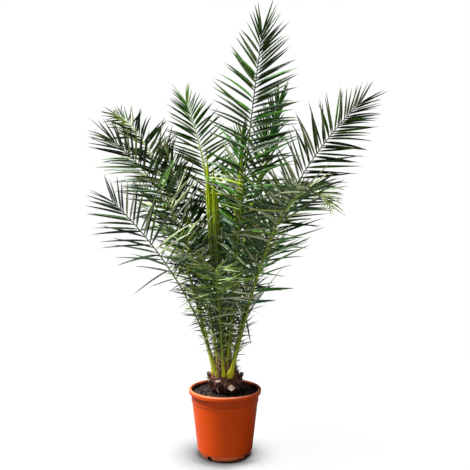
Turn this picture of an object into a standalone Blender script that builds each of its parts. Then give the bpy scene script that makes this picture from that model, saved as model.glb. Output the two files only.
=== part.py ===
"""Young Canary Island date palm in a round nursery pot.

Metres, +Z up, origin at the middle of the pot's flat underside. The pot and soil are turned,
the stem is a short fibrous bulb with cut leaf bases, and each frond is a tapering rib with
folded leaflets along both of its edges.
"""

import math
import random

import bmesh
import bpy
from mathutils import Matrix, Vector
from mathutils.bvhtree import BVHTree

# Pot
RIM_RADIUS = 0.130
RIM_HEIGHT = 0.234
LIP_DEPTH = 0.015
LIP_ROUND = 0.003
LIP_DRAFT = 0.0008
LIP_WALL = 0.0023
COLLAR_RADIUS = 0.1208
COLLAR_DEPTH = 0.029
COLLAR_DRAFT = 0.0007
BODY_TOP_RADIUS = 0.1175
BODY_FOOT_RADIUS = 0.0980
FOOT_HEIGHT = 0.020
FOOT_RADIUS = 0.0885
FOOT_INSET = 0.0030
FOOT_SHOULDER = 0.0015
WALL = 0.0026
FLOOR = 0.0034
POT_STEPS = 48
NOTCH_COUNT = 4
NOTCH_WIDTH = 0.017
NOTCH_HEIGHT = 0.016
NOTCH_DEPTH = 0.019
NOTCH_ANGLE = 234.0

# Soil
GAP = 0.0003
SOIL_TOP = 0.221
SOIL_DIP = 0.003
SOIL_FLAT = 0.070
SOIL_LOW = 0.096
SOIL_STEPS = 36

# Stem: height above the soil and radius, from the top down
STEM_PROFILE = (
    (0.066, 0.014), (0.058, 0.030), (0.046, 0.042), (0.030, 0.051), (0.016, 0.052), (0.006, 0.048),
)
STEM_FOOT = 0.044
STEM_STEPS = 14
# Sheath under each petiole: distance below the petiole's foot and size against the petiole
BOOT_RINGS = ((0.050, 1.1), (0.020, 1.15))
# Cut leaf bases: share of the length and size against the full width
STUB_RINGS = ((0.0, 1.15), (0.55, 1.0), (1.0, 0.75))
STUB_WIDTH = 0.024
STUB_THICK = 0.012
STUB_UPPER_SHARE = 0.6
STUB_KEEL_SHARE = 0.8
STUB_ROOT_RING = 0.050
STUB_ROOT_SLOPE = 0.00027
STUB_ROOT_HEIGHT = 0.014
# Azimuth, lean and length of each cut leaf base
STUBS = (
    (354, 16, 0.058), (30, 40, 0.044), (66, 55, 0.038), (98, 62, 0.036), (134, 30, 0.048), (168, 54, 0.040),
    (187, 15, 0.060), (209, 36, 0.046), (249, 36, 0.050), (291, 64, 0.036), (318, 44, 0.042),
)

# Where the petioles leave the stem: rank 0 is the outer ring and rank 1 the middle
OUTER_RING = 0.041
INNER_RING = 0.008
OUTER_BASE = 0.276
BASE_RISE = 0.042

# Petiole and rib
PETIOLE_WIDTH = 0.0205
PETIOLE_THICK = 0.0115
RIB_WIDTH = 0.0090
RIB_THICK = 0.0075
TIP_WIDTH = 0.0042
TIP_THICK = 0.0036
PETIOLE_POWER = 0.7
KEEL_SHARE = 0.62
SHORT_SCALE = 0.55
SCALE_PER_METRE = 0.45
INNER_SLIM = 0.22
RIB_START = 0.26
RIB_RINGS = 15
FEWEST_RINGS = 4
PATH_STEPS = 60
SPLIT_BEND = 60.0

# Leaflets
LEAFLET_SPACING = 0.038
LEAFLET_WIDTH = 0.0165
NARROWEST = 0.35
FULL_WIDTH_LENGTH = 0.13
LEAFLET_FOLD = 0.0040
ROOT_SHARE = 0.30
WIDEST = 0.32
TIP_SPLAY = 14.0
NARROW_FROM = 0.72
NARROW_POWER = 2.4
FIRST_LEAFLET = 0.60
FULL_FROM = 0.25
LAST_LEAFLET = 0.50
TAPER_FROM = 0.40
WOBBLE = 4.0
STRETCH = (0.9, 1.05)
END_MARGIN = 0.004
TIP_ROOT = 0.995
CLEARANCE = 0.0006
# Shortening and turn in degrees tried in order until a leaflet is clear of the other pieces
TRIES = (
    (1.0, 0.0), (1.0, 7.0), (1.0, -7.0), (0.8, 0.0), (0.8, 10.0), (0.62, 0.0), (0.45, 0.0), (0.32, 0.0),
)
SEED = 11

# name, azimuth, rank, lean at the base, lean at the tip, bend power, length, sweep, roll,
# longest leaflet, splay, lift of the two sides, share of the length that is bare petiole
FRONDS = (
    ("front_tall", -68, 0.60, 10.5, 12.5, 1.6, 1.18, 15, -46, 0.205, 62, 20, 0.20),
    ("right", 15, 0.36, 11, 48, 1.3, 1.13, 0, 78, 0.200, 52, 12, 0.24),
    ("right_young", -25, 0.46, 10, 38, 1.5, 0.70, 0, 40, 0.145, 50, 18, 0.28),
    ("right_arch", -64, 0.08, 29, 123, 2.9, 1.09, -14, 0, 0.200, 57, 20, 0.20),
    ("left_low", 230, 0.00, 17.5, 55, 0.8, 0.81, 2.5, 45, 0.165, 52, 15, 0.52),
    ("left_back", 153, 0.00, 17, 72, 4.1, 1.15, -15, -50, 0.175, 52, 15, 0.30),
    ("left_front", 217, 0.46, 10, 58, 1.6, 0.94, 2, 45, 0.165, 52, 15, 0.38),
    ("back_left", 122, 0.70, 2.5, 32, 1.5, 1.04, 4, -25, 0.175, 60, 15, 0.24),
    ("mid_left", 171, 0.46, 6, 28, 1.4, 0.83, -25, -60, 0.140, 48, 20, 0.30),
    ("spear", -10, 0.90, 5, 17, 1.0, 0.97, 2, 60, 0.150, 42, 25, 0.38),
    ("back_arch", 82, 0.06, 18, 105, 1.8, 1.02, 2, 10, 0.180, 55, 20, 0.24),
    ("back_low", 114, 0.00, 26, 92, 1.5, 0.86, -8, 0, 0.170, 55, 20, 0.24),
    ("back_right", 48, 0.00, 15, 72, 1.8, 0.88, 4, 20, 0.170, 55, 18, 0.26),
    ("front_low", 263, 0.05, 22, 90, 1.4, 0.72, 8, 0, 0.140, 55, 20, 0.26),
    ("centre", 52, 0.76, 3, 10, 1.5, 0.86, 0, 0, 0.140, 40, 25, 0.42),
    ("left_short", 188, 0.00, 9, 38, 1.5, 0.72, 0, 40, 0.140, 50, 20, 0.26),
)
FIELDS = (
    "name", "azimuth", "rank", "lean", "tip_lean", "bend", "length", "sweep", "roll",
    "leaflet", "splay", "lift", "bare",
)

# Colours are linear red, green, blue
TERRACOTTA = (0.62, 0.115, 0.028)
BLACK_SOIL = (0.016, 0.012, 0.010)
FIBRE_BROWN = (0.110, 0.050, 0.026)
LEAF_GREEN = (0.050, 0.120, 0.030)
YOUNG_GREEN = (0.200, 0.330, 0.030)
YOUNG = ("spear", "centre", "back_left")


def clear_scene():
    for item in list(bpy.data.objects):
        bpy.data.objects.remove(item, do_unlink=True)


def new_collection(name):
    group = bpy.data.collections.new(name)
    bpy.context.scene.collection.children.link(group)
    return group


def new_material(name, colour, roughness):
    material = bpy.data.materials.new(name)
    material.use_nodes = True
    shader = material.node_tree.nodes["Principled BSDF"]
    shader.inputs["Base Color"].default_value = (*colour, 1.0)
    shader.inputs["Roughness"].default_value = roughness
    shader.inputs["Metallic"].default_value = 0.0
    return material


def new_object(name, mesh, group, material=None):
    item = bpy.data.objects.new(name, mesh)
    group.objects.link(item)
    if material:
        mesh.materials.append(material)
    return item


def bake(item):
    """Replace an object's mesh by its evaluated mesh and drop the modifiers."""
    graph = bpy.context.evaluated_depsgraph_get()
    mesh = bpy.data.meshes.new_from_object(item.evaluated_get(graph))
    item.modifiers.clear()
    item.data = mesh


def smooth(item, angle=35.0):
    item.data.shade_smooth()
    item.data.set_sharp_from_angle(angle=math.radians(angle))


def turned(name, profile, steps, group, material=None):
    """A closed solid of revolution from (radius, height) points, outer side first, axis to axis."""
    mesh = bpy.data.meshes.new(name)
    points = [(radius, 0.0, height) for radius, height in profile]
    edges = [(i, i + 1) for i in range(len(points) - 1)]
    mesh.from_pydata(points, edges, [])
    item = new_object(name, mesh, group, material)
    screw = item.modifiers.new("Turn", "SCREW")
    screw.steps = steps
    screw.render_steps = steps
    screw.use_merge_vertices = True
    screw.merge_threshold = 0.0001
    bake(item)
    return item


def union(item, operands):
    """Join every object of a collection to the item and remove the collection."""
    joined = item.modifiers.new("Join", "BOOLEAN")
    joined.operation = "UNION"
    joined.operand_type = "COLLECTION"
    joined.collection = operands
    joined.solver = "MANIFOLD"
    bake(item)
    for operand in list(operands.objects):
        bpy.data.objects.remove(operand, do_unlink=True)
    bpy.data.collections.remove(operands)


def loft(rings, tip=None):
    """A closed mesh through rings of equal point counts, ending in a flat cap or in one tip point."""
    shape = bmesh.new()
    loops = [[shape.verts.new(point) for point in ring] for ring in rings]
    sides = len(loops[0])
    for low, high in zip(loops, loops[1:]):
        for i in range(sides):
            j = (i + 1) % sides
            shape.faces.new((low[i], low[j], high[j], high[i]))
    shape.faces.new(list(reversed(loops[0])))
    if tip is None:
        shape.faces.new(loops[-1])
    else:
        end = shape.verts.new(tip)
        for i in range(sides):
            shape.faces.new((loops[-1][i], loops[-1][(i + 1) % sides], end))
    bmesh.ops.triangulate(shape, faces=shape.faces)
    bmesh.ops.recalc_face_normals(shape, faces=shape.faces)
    mesh = bpy.data.meshes.new("loft")
    shape.to_mesh(mesh)
    shape.free()
    return mesh


def build_pot(group, cutters, material):
    """A tapering wall under a collar and a skirted lip, with a flat underside and drain notches."""
    lip_foot = RIM_HEIGHT - LIP_DEPTH
    collar_foot = lip_foot - COLLAR_DEPTH
    step = COLLAR_RADIUS - BODY_TOP_RADIUS
    ease = LIP_ROUND * (1.0 - math.sqrt(0.5))
    outside = [
        (RIM_RADIUS - LIP_ROUND - WALL, RIM_HEIGHT),
        (RIM_RADIUS - LIP_ROUND, RIM_HEIGHT),
        (RIM_RADIUS - ease, RIM_HEIGHT - ease),
        (RIM_RADIUS, RIM_HEIGHT - LIP_ROUND),
        (RIM_RADIUS - LIP_DRAFT, lip_foot),
        (RIM_RADIUS - LIP_DRAFT - LIP_WALL, lip_foot),
        (RIM_RADIUS - WALL - LIP_ROUND, RIM_HEIGHT - WALL - LIP_ROUND),
        (COLLAR_RADIUS, RIM_HEIGHT - WALL - LIP_ROUND),
        (COLLAR_RADIUS - COLLAR_DRAFT, collar_foot),
        (BODY_TOP_RADIUS, collar_foot - step),
        (BODY_FOOT_RADIUS, FOOT_HEIGHT),
        (BODY_FOOT_RADIUS - FOOT_INSET, FOOT_HEIGHT - FOOT_SHOULDER),
        (FOOT_RADIUS, LIP_ROUND),
        (FOOT_RADIUS - LIP_ROUND, 0.0),
        (0.0, 0.0),
    ]
    inside = [
        (0.0, FLOOR),
        (FOOT_RADIUS - WALL, FLOOR),
        (BODY_FOOT_RADIUS - FOOT_INSET - WALL, FOOT_HEIGHT),
        (BODY_TOP_RADIUS - WALL, collar_foot),
        (COLLAR_RADIUS - WALL, collar_foot + step),
        (COLLAR_RADIUS - WALL, RIM_HEIGHT - WALL),
        (RIM_RADIUS - LIP_ROUND - WALL, RIM_HEIGHT),
    ]
    pot = turned("pot", outside + inside, POT_STEPS, group, material)
    for index in range(NOTCH_COUNT):
        angle = math.radians(NOTCH_ANGLE + index * 360.0 / NOTCH_COUNT)
        shape = bmesh.new()
        bmesh.ops.create_cube(shape, size=1.0)
        mesh = bpy.data.meshes.new("notch")
        shape.to_mesh(mesh)
        shape.free()
        notch = new_object("cutter_notch", mesh, cutters)
        size = Matrix.Diagonal((NOTCH_DEPTH, NOTCH_WIDTH, 2.0 * NOTCH_HEIGHT, 1.0))
        place = Matrix.Translation((FOOT_RADIUS, 0.0, 0.0))
        notch.matrix_world = Matrix.Rotation(angle, 4, "Z") @ place @ size
        notch.hide_render = True
        notch.display_type = "WIRE"
    cut = pot.modifiers.new("Notches", "BOOLEAN")
    cut.operation = "DIFFERENCE"
    cut.operand_type = "COLLECTION"
    cut.collection = cutters
    smooth(pot)


def build_soil(group, material):
    """The soil fills the pot to just under the rim, a gap clear of the wall."""
    inset = WALL + GAP * 2.0
    collar_foot = RIM_HEIGHT - LIP_DEPTH - COLLAR_DEPTH
    step = COLLAR_RADIUS - BODY_TOP_RADIUS
    profile = [
        (0.0, SOIL_TOP),
        (SOIL_FLAT, SOIL_TOP),
        (SOIL_LOW, SOIL_TOP - SOIL_DIP),
        (COLLAR_RADIUS - inset, SOIL_TOP),
        (COLLAR_RADIUS - inset, collar_foot + step + 2.0 * GAP),
        (BODY_TOP_RADIUS - inset, collar_foot + GAP),
        (BODY_FOOT_RADIUS - FOOT_INSET - inset, FOOT_HEIGHT + GAP),
        (FOOT_RADIUS - inset, FLOOR + GAP),
        (0.0, FLOOR + GAP),
    ]
    smooth(turned("soil", profile, SOIL_STEPS, group, material))


class Frond:
    """One frond: where its petiole starts, how it leans, bends and rolls, and its leaflets."""

    def __init__(self, row):
        for field, value in zip(FIELDS, row):
            setattr(self, field, value)
        ring = OUTER_RING + (INNER_RING - OUTER_RING) * self.rank
        turn = math.radians(self.azimuth)
        height = OUTER_BASE + BASE_RISE * self.rank
        self.base = Vector((ring * math.cos(turn), ring * math.sin(turn), height))
        self.points = [self.base.copy()]
        step = self.length / PATH_STEPS
        for index in range(PATH_STEPS):
            along, _, _ = self.axes((index + 0.5) / PATH_STEPS)
            self.points.append(self.points[-1] + along * step)

    def axes(self, share):
        """Along the rib, out of the blade's upper face, and across the blade."""
        lean = math.radians(self.lean + (self.tip_lean - self.lean) * share ** self.bend)
        turn = math.radians(self.azimuth + self.sweep * share)
        along = Vector((math.sin(lean) * math.cos(turn), math.sin(lean) * math.sin(turn), math.cos(lean)))
        face = Vector((-math.cos(lean) * math.cos(turn), -math.cos(lean) * math.sin(turn), math.sin(lean)))
        eased = min(1.0, 2.0 * share)
        roll = math.radians(self.roll) * eased * eased * (3.0 - 2.0 * eased)
        face = Matrix.Rotation(roll, 3, along) @ face
        return along, face, along.cross(face)

    def point(self, share):
        place = min(max(share, 0.0), 1.0) * PATH_STEPS
        index = min(int(place), PATH_STEPS - 1)
        return self.points[index].lerp(self.points[index + 1], place - index)

    def section(self, share):
        """Width and thickness of the petiole and rib: less on a short frond and on an inner one."""
        scale = (SHORT_SCALE + SCALE_PER_METRE * self.length) * (1.0 - INNER_SLIM * self.rank)
        if share < RIB_START:
            part = share / RIB_START
            return (
                scale * (PETIOLE_WIDTH + (RIB_WIDTH - PETIOLE_WIDTH) * part ** PETIOLE_POWER),
                scale * (PETIOLE_THICK + (RIB_THICK - PETIOLE_THICK) * part),
            )
        part = (share - RIB_START) / (1.0 - RIB_START)
        return (
            scale * (RIB_WIDTH + (TIP_WIDTH - RIB_WIDTH) * part),
            scale * (RIB_THICK + (TIP_THICK - RIB_THICK) * part),
        )

    def ring(self, share, shift=0.0, grow=1.0):
        """Four corners across the rib: a wide upper face over a narrower keel."""
        along, face, across = self.axes(share)
        width, thick = self.section(share)
        side = across * 0.5 * width * grow
        rise = face * 0.5 * thick * grow
        centre = self.point(share) + along * shift
        return [
            centre + side + rise,
            centre - side + rise,
            centre - side * KEEL_SHARE - rise,
            centre + side * KEEL_SHARE - rise,
        ]

    def rib(self, start, end):
        count = max(FEWEST_RINGS, round(RIB_RINGS * (end - start)))
        rings = [self.ring(start + (end - start) * i / count) for i in range(count + 1)]
        first, _, _ = self.axes(start)
        last, _, _ = self.axes(end)
        rings[0] = [corner + first * 0.5 * GAP for corner in rings[0]]
        if end < 1.0:
            rings[-1] = [corner - last * 0.5 * GAP for corner in rings[-1]]
        return loft(rings)

    def boot(self):
        """The sheath that carries the petiole down into the stem."""
        rings = [self.ring(0.0, -below, grow) for below, grow in BOOT_RINGS]
        return loft(rings + [self.ring(0.0, -0.5 * GAP)])

    def splits(self):
        """A strongly arched frond is cut where half of its bend is behind it."""
        if self.tip_lean - self.lean < SPLIT_BEND:
            return [("", 0.0, 1.0)]
        middle = 0.5 ** (1.0 / self.bend)
        return [("_lower", 0.0, middle), ("_upper", middle, 1.0)]

    def leaflet_length(self, share):
        place = (share - self.bare) / (1.0 - self.bare)
        fill = min(1.0, FIRST_LEAFLET + (1.0 - FIRST_LEAFLET) * place / FULL_FROM)
        taper = 1.0 - (1.0 - LAST_LEAFLET) * (max(0.0, place - TAPER_FROM) / (1.0 - TAPER_FROM)) ** 3
        return self.leaflet * fill * taper

    def leaflet_axes(self, share, side, turn=0.0):
        """Direction of a leaflet and the upward normal of its folded blade."""
        along, face, across = self.axes(share)
        narrowing = (max(0.0, share - NARROW_FROM) / (1.0 - NARROW_FROM)) ** NARROW_POWER
        splay = math.radians(self.splay + (TIP_SPLAY - self.splay) * narrowing + turn)
        lift = math.radians(self.lift)
        outward = across * side * math.cos(lift) + face * math.sin(lift)
        direction = along * math.cos(splay) + outward * math.sin(splay)
        normal = (face * math.cos(lift) - across * side * math.sin(lift)).normalized()
        return direction, normal


def blade_matrix(origin, direction, normal, length, width, thick):
    """Placement of the unit blade: X across, Y along, Z up."""
    direction = direction.normalized()
    across = direction.cross(normal).normalized()
    up = across.cross(direction)
    turn = Matrix((across, direction, up)).transposed().to_4x4()
    return Matrix.Translation(origin) @ turn @ Matrix.Diagonal((width, length, thick, 1.0))


def unit_blade():
    """A folded leaflet of unit length, width and depth: three sides from root to tip."""
    def fold(place, width):
        return [
            Vector((-0.5 * width, place, 0.5 * width)),
            Vector((0.5 * width, place, 0.5 * width)),
            Vector((0.0, place, -0.5 * width)),
        ]

    mesh = loft([fold(0.0, ROOT_SHARE), fold(WIDEST, 1.0)], tip=Vector((0.0, 1.0, 0.0)))
    mesh.name = "leaflet"
    return mesh


class Space:
    """The solids placed so far, each a box and a tree of its faces, to keep new ones clear."""

    def __init__(self):
        self.taken = []

    @staticmethod
    def outline(points):
        low = [min(point[i] for point in points) for i in range(3)]
        high = [max(point[i] for point in points) for i in range(3)]
        return low, high

    def add(self, owner, mesh, matrix=None):
        points = [matrix @ vertex.co if matrix else vertex.co.copy() for vertex in mesh.vertices]
        faces = [tuple(polygon.vertices) for polygon in mesh.polygons]
        low, high = self.outline(points)
        self.taken.append((owner, low, high, BVHTree.FromPolygons(points, faces)))

    def clear(self, owner, mesh, matrix):
        points = [matrix @ vertex.co for vertex in mesh.vertices]
        faces = [tuple(polygon.vertices) for polygon in mesh.polygons]
        low, high = self.outline(points)
        tree = None
        for other, other_low, other_high, other_tree in self.taken:
            if other == owner:
                continue
            if any(low[i] > other_high[i] or high[i] < other_low[i] for i in range(3)):
                continue
            tree = tree or BVHTree.FromPolygons(points, faces)
            if tree.overlap(other_tree):
                return False
        return True


def stub(azimuth, lean, length, height):
    """The cut base of an older leaf: a flat-topped wedge that leans out of the stem."""
    turn = math.radians(azimuth)
    tilt = math.radians(lean)
    outward = Vector((math.cos(turn), math.sin(turn), 0.0))
    along = outward * math.sin(tilt) + Vector((0.0, 0.0, math.cos(tilt)))
    normal = outward * math.cos(tilt) - Vector((0.0, 0.0, math.sin(tilt)))
    across = along.cross(normal)
    root = outward * (STUB_ROOT_RING - STUB_ROOT_SLOPE * lean) + Vector((0.0, 0.0, height))
    rings = []
    for share, size in STUB_RINGS:
        centre = root + along * length * share
        half = across * 0.5 * STUB_WIDTH * size
        thick = normal * 0.5 * STUB_THICK * size
        rings.append([
            centre + half,
            centre + half * STUB_UPPER_SHARE + thick,
            centre - half * STUB_UPPER_SHARE + thick,
            centre - half,
            centre - thick * STUB_KEEL_SHARE,
        ])
    return loft(rings)


def build_stem(group, material, fronds):
    """The fibrous bulb with a boot under each petiole and the cut bases of older leaves."""
    foot = SOIL_TOP + GAP
    profile = [(0.0, foot + STEM_PROFILE[0][0])]
    profile += [(radius, foot + height) for height, radius in STEM_PROFILE]
    profile += [(STEM_FOOT, foot), (0.0, foot)]
    stem = turned("stem", profile, STEM_STEPS, group, material)
    parts = new_collection("stem parts")
    for frond in fronds:
        new_object("boot", frond.boot(), parts)
    for azimuth, lean, length in STUBS:
        new_object("stub", stub(azimuth, lean, length, foot + STUB_ROOT_HEIGHT), parts)
    union(stem, parts)
    return stem


def place_leaflets(frond, owner, start, end, blade, space, rng):
    """Leaflets of one stretch of rib, each clear of every other frond, plus the one at the tip."""
    placed = []
    pad = 2.0 * CLEARANCE
    count = 2 * round((1.0 - frond.bare) * frond.length / LEAFLET_SPACING)
    for index in range(count + 1):
        share = frond.bare + (1.0 - frond.bare) * (index + 0.5) / count
        side = 1 if index % 2 else -1
        wobble = rng.uniform(-WOBBLE, WOBBLE)
        stretch = rng.uniform(*STRETCH)
        at_tip = index == count
        if at_tip and end < 1.0:
            continue
        if not at_tip and not start + END_MARGIN < share < end - END_MARGIN:
            continue
        length = frond.leaflet_length(min(share, 1.0)) * stretch
        for shorten, turn in TRIES:
            if at_tip:
                direction, normal, _ = frond.axes(1.0)
                root = frond.point(TIP_ROOT)
            else:
                direction, normal = frond.leaflet_axes(share, side, wobble + turn)
                root = frond.point(share)
            reach = length * shorten
            width = LEAFLET_WIDTH * min(1.0, NARROWEST + (1.0 - NARROWEST) * reach / FULL_WIDTH_LENGTH)
            wide = blade_matrix(root, direction, normal, reach + pad, width + pad, LEAFLET_FOLD + pad)
            if space.clear(owner, blade, wide):
                placed.append(blade_matrix(root, direction, normal, reach, width, LEAFLET_FOLD))
                break
    return placed


def build_fronds(group, fronds, stem, leaf, young):
    space = Space()
    space.add("stem", stem.data)
    pieces = []
    for frond in fronds:
        for suffix, start, end in frond.splits():
            name = "frond_" + frond.name + suffix
            mesh = frond.rib(start, end)
            rib = new_object(name, mesh, group, young if frond.name in YOUNG else leaf)
            space.add(name, mesh)
            pieces.append((frond, name, start, end, rib))
    blade = unit_blade()
    for order, (frond, name, start, end, rib) in enumerate(pieces):
        rng = random.Random(SEED + order)
        leaflets = new_collection(name + " leaflets")
        for matrix in place_leaflets(frond, name, start, end, blade, space, rng):
            item = new_object("leaflet", blade, leaflets)
            item.matrix_world = matrix
            space.add(name, blade, matrix)
        bpy.context.view_layer.update()
        union(rib, leaflets)


def main():
    clear_scene()
    parts = new_collection("potted_date_palm")
    cutters = new_collection("cutters")
    plastic = new_material("pot plastic", TERRACOTTA, 0.55)
    earth = new_material("potting soil", BLACK_SOIL, 0.95)
    fibre = new_material("stem fibre", FIBRE_BROWN, 0.9)
    leaf = new_material("leaf green", LEAF_GREEN, 0.5)
    young = new_material("young leaf green", YOUNG_GREEN, 0.5)
    build_pot(parts, cutters, plastic)
    build_soil(parts, earth)
    fronds = [Frond(row) for row in FRONDS]
    stem = build_stem(parts, fibre, fronds)
    build_fronds(parts, fronds, stem, leaf, young)


main()
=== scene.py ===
"""Looks of the potted date palm: moulded pot, compost, fibrous stem, ribs, spines and leaflets.

Each piece stands in for the plain solids of the frame and keeps their places and sizes.
Metres, +Z up.
"""

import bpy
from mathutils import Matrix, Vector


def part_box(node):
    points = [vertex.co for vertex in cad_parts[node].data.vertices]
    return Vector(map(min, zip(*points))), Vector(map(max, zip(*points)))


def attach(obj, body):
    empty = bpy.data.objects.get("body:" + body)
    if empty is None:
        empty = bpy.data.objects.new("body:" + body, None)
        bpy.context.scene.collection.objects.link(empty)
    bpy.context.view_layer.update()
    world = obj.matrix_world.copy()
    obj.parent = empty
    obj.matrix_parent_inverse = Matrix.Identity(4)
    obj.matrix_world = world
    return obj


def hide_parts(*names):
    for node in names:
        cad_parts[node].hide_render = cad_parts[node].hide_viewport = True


bl_info = {
    "name": "Potted date palm",
    "version": (1, 0, 0),
    "blender": (4, 5, 0),
    "location": "View3D > Sidebar > Palm",
    "description": "Dresses the frame of a potted date palm and lights it in a pale studio",
    "category": "Object",
}

import math
import random

import bmesh
import bpy
from bpy.props import FloatProperty, FloatVectorProperty, IntProperty, PointerProperty
from mathutils import Matrix, Vector, noise

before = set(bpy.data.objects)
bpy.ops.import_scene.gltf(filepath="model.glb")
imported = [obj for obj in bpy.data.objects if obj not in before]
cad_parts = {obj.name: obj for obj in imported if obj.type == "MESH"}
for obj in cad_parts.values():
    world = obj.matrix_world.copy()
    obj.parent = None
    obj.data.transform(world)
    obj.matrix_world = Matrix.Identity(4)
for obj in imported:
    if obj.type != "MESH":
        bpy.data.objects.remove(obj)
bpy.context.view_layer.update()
BODY = "root"

# Pot: the outer sizes come from the frame, the moulding's details are set here
POT_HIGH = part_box("pot")[1]
RIM_RADIUS = POT_HIGH.x
RIM_HEIGHT = POT_HIGH.z
LIP_DEPTH = 0.015
LIP_ROUND = 0.0045
LIP_DRAFT = 0.0008
LIP_WALL = 0.0023
LIP_CORNER = 0.0005
LIP_FOOT = RIM_HEIGHT - LIP_DEPTH
COLLAR_RADIUS = 0.1208
COLLAR_DEPTH = 0.029
COLLAR_DRAFT = 0.0007
COLLAR_FOOT = LIP_FOOT - COLLAR_DEPTH
BODY_TOP_RADIUS = 0.1175
COLLAR_STEP = COLLAR_RADIUS - BODY_TOP_RADIUS
BODY_FOOT_RADIUS = 0.0980
FOOT_HEIGHT = 0.020
FOOT_RADIUS = 0.0885
FOOT_INSET = 0.0030
FOOT_SHOULDER = 0.0015
FOOT_ROUND = 0.003
WALL = 0.0026
FLOOR = 0.0034
FILLET = 0.0012
# The rim's inner edge, and how far below the rim the darkened inner wall stops
RIM_ROUND = 0.002
RIM_DROP = 0.0065
DARK_WALL_DROP = 0.0016
ARC_STEPS = 5
POT_STEPS = 180
NOTCH_WIDTH = 0.017
NOTCH_HEIGHT = 0.016
NOTCH_DEPTH = 0.019
NOTCH_ANGLE = 234.0
NOTCH_ROUND = 0.002

# Soil
GAP = 0.0003
SOIL_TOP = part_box("soil")[1].z
SOIL_DIP = 0.003
SOIL_FLAT = 0.070
SOIL_LOW = 0.096
SOIL_STEPS = 150
SOIL_ROW = 0.0035
SOIL_BUMP = 0.0045
# Share of the dip that is made up again at the wall
SOIL_RISE = 0.7
BED_INNER = 0.046
BED_OUTER = COLLAR_RADIUS - 2.0 * WALL
BED_ROWS = 8
BED_SIDES = 72
# Seeds of the crumbs' shapes and of their places
CRUMB_SEED = 31
BED_SEED = 5
BARK_COUNT = 190
BARK_SIZE = 0.0075
PERLITE_COUNT = 22
PERLITE_SIZE = 0.0030

# Stem: height above the soil and radius, from the top down
STEM_PROFILE = (
    (0.066, 0.014), (0.058, 0.030), (0.046, 0.042), (0.030, 0.051), (0.016, 0.052), (0.006, 0.048),
)
STEM_TALL = STEM_PROFILE[0][0]
STEM_STEPS = 150
STEM_ROWS = 56
STEM_SUNK = 0.006
# How far lumps and strands stand out of the bulb, and lumps up from it
STEM_LUMPS = 0.0035
STEM_STRANDS = 0.0016
STEM_UNEVEN = 0.0015
SCALE_ROWS = 5
SCALES_ROUND = 9
# Azimuth, lean and length of each cut leaf base
STUBS = (
    (354, 16, 0.058), (30, 40, 0.044), (66, 55, 0.038), (98, 62, 0.036), (134, 30, 0.048), (168, 54, 0.040),
    (187, 15, 0.060), (209, 36, 0.046), (249, 36, 0.050), (291, 64, 0.036), (318, 44, 0.042),
)
STUB_ROWS = 11
STUB_SIDES = 18
STUB_SEED = 4
STUB_WIDTH = 0.027
STUB_THICK = 0.0145
# Size at the foot and at the cut end, as shares of the width and the thickness
STUB_FOOT = 1.15
STUB_END = 0.78
FRESH_END = 0.95
# Depth of the bark's lumps and of its grain
STUB_LUMPS = 0.0024
STUB_GRAIN = 0.0012
# Rim round a cut face, how deep the face lies in it and how unevenly it is cut
CUT_RIM = 0.0012
CUT_DEPTH = 0.0006
CUT_UNEVEN = 0.0014
# The freshly cut leaf base in front is rounder and paler than the others
FRESH_STUB = 291
SECOND_FRESH = 249
FRESH_ROUND = 1.55
# Cut faces: name, three browns and how far they are stained
CUT_FACES = (
    ("cut leaf base", ((0.400, 0.200, 0.120), (0.860, 0.600, 0.420), (0.960, 0.790, 0.600)), 0.20),
    ("old cut leaf base", ((0.030, 0.016, 0.010), (0.110, 0.065, 0.038), (0.260, 0.180, 0.110)), 0.8),
    ("second cut leaf base", ((0.050, 0.024, 0.020), (0.160, 0.095, 0.075), (0.420, 0.300, 0.240)), 0.60),
)
# Places in that list, counted from 1; every other leaf base takes the second
STUB_FACES = {FRESH_STUB: 1, SECOND_FRESH: 3}
# Height over the soil up to which compost clings to the bulb and the leaf bases
SOIL_MARK = 0.032
STUB_ROOT_RING = 0.050
STUB_ROOT_SLOPE = 0.00027
STUB_ROOT_HEIGHT = 0.014

# Husk: the torn fibre that stands round the petioles
HUSK_LOW = 0.266
HUSK_HEIGHT = 0.115
HUSK_FOOT = 0.041
HUSK_RIM = 0.0355
# Cuff: shorter torn fibre in front of the petioles' feet
CUFF_LOW = 0.254
CUFF_HEIGHT = 0.052
CUFF_FOOT = 0.0530
CUFF_RIM = 0.0455
HUSK_SEED = 4.0
CUFF_SEED = 9.0
HUSK_ROWS = 14
HUSK_SIDES = 120
# Height of the torn edge, as shares of the whole: its mean, its tongues and its teeth
HUSK_MEAN = 0.62
HUSK_TONGUES = 0.75
HUSK_TEETH = 0.45
# Least height, and how far the wall waves and creases
HUSK_LEAST = 0.008
HUSK_WAVE = 0.005
HUSK_CREASE = 0.0034
# Radius of their inner side as a share of the outer one
HUSK_WALL = 0.955
# Seed of the loose fibres' places
FIBRE_SEED = 17
FIBRE_SIDES = 48
FIBRE_SPREAD = 0.55
STRAND_ROWS = 5
# Folded young fronds: foot, tip, width and bend
SPEARS = (
    ((-0.012, -0.014, 0.300), (-0.066, -0.060, 1.095), 0.0215, 0.2),
    ((-0.004, -0.020, 0.300), (-0.044, -0.068, 1.055), 0.0225, -0.2),
    ((0.007, -0.018, 0.300), (0.060, -0.086, 1.100), 0.0225, -0.4),
    ((0.000, -0.022, 0.300), (0.003, -0.052, 0.740), 0.0170, 0.4),
    ((-0.006, 0.004, 0.300), (-0.012, 0.030, 0.820), 0.0190, -0.6),
    ((0.016, -0.004, 0.300), (0.055, -0.020, 0.700), 0.0150, 1.0),
    ((-0.020, -0.008, 0.300), (-0.066, -0.030, 0.640), 0.0150, -1.0),
    ((0.006, 0.012, 0.300), (0.004, 0.030, 0.760), 0.0170, 1.0),
)
SPEAR_ROWS = 60
SPEAR_SIDES = 36
SPEAR_PLEATS = 9.0
PLEAT_DEPTH = 0.14
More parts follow.
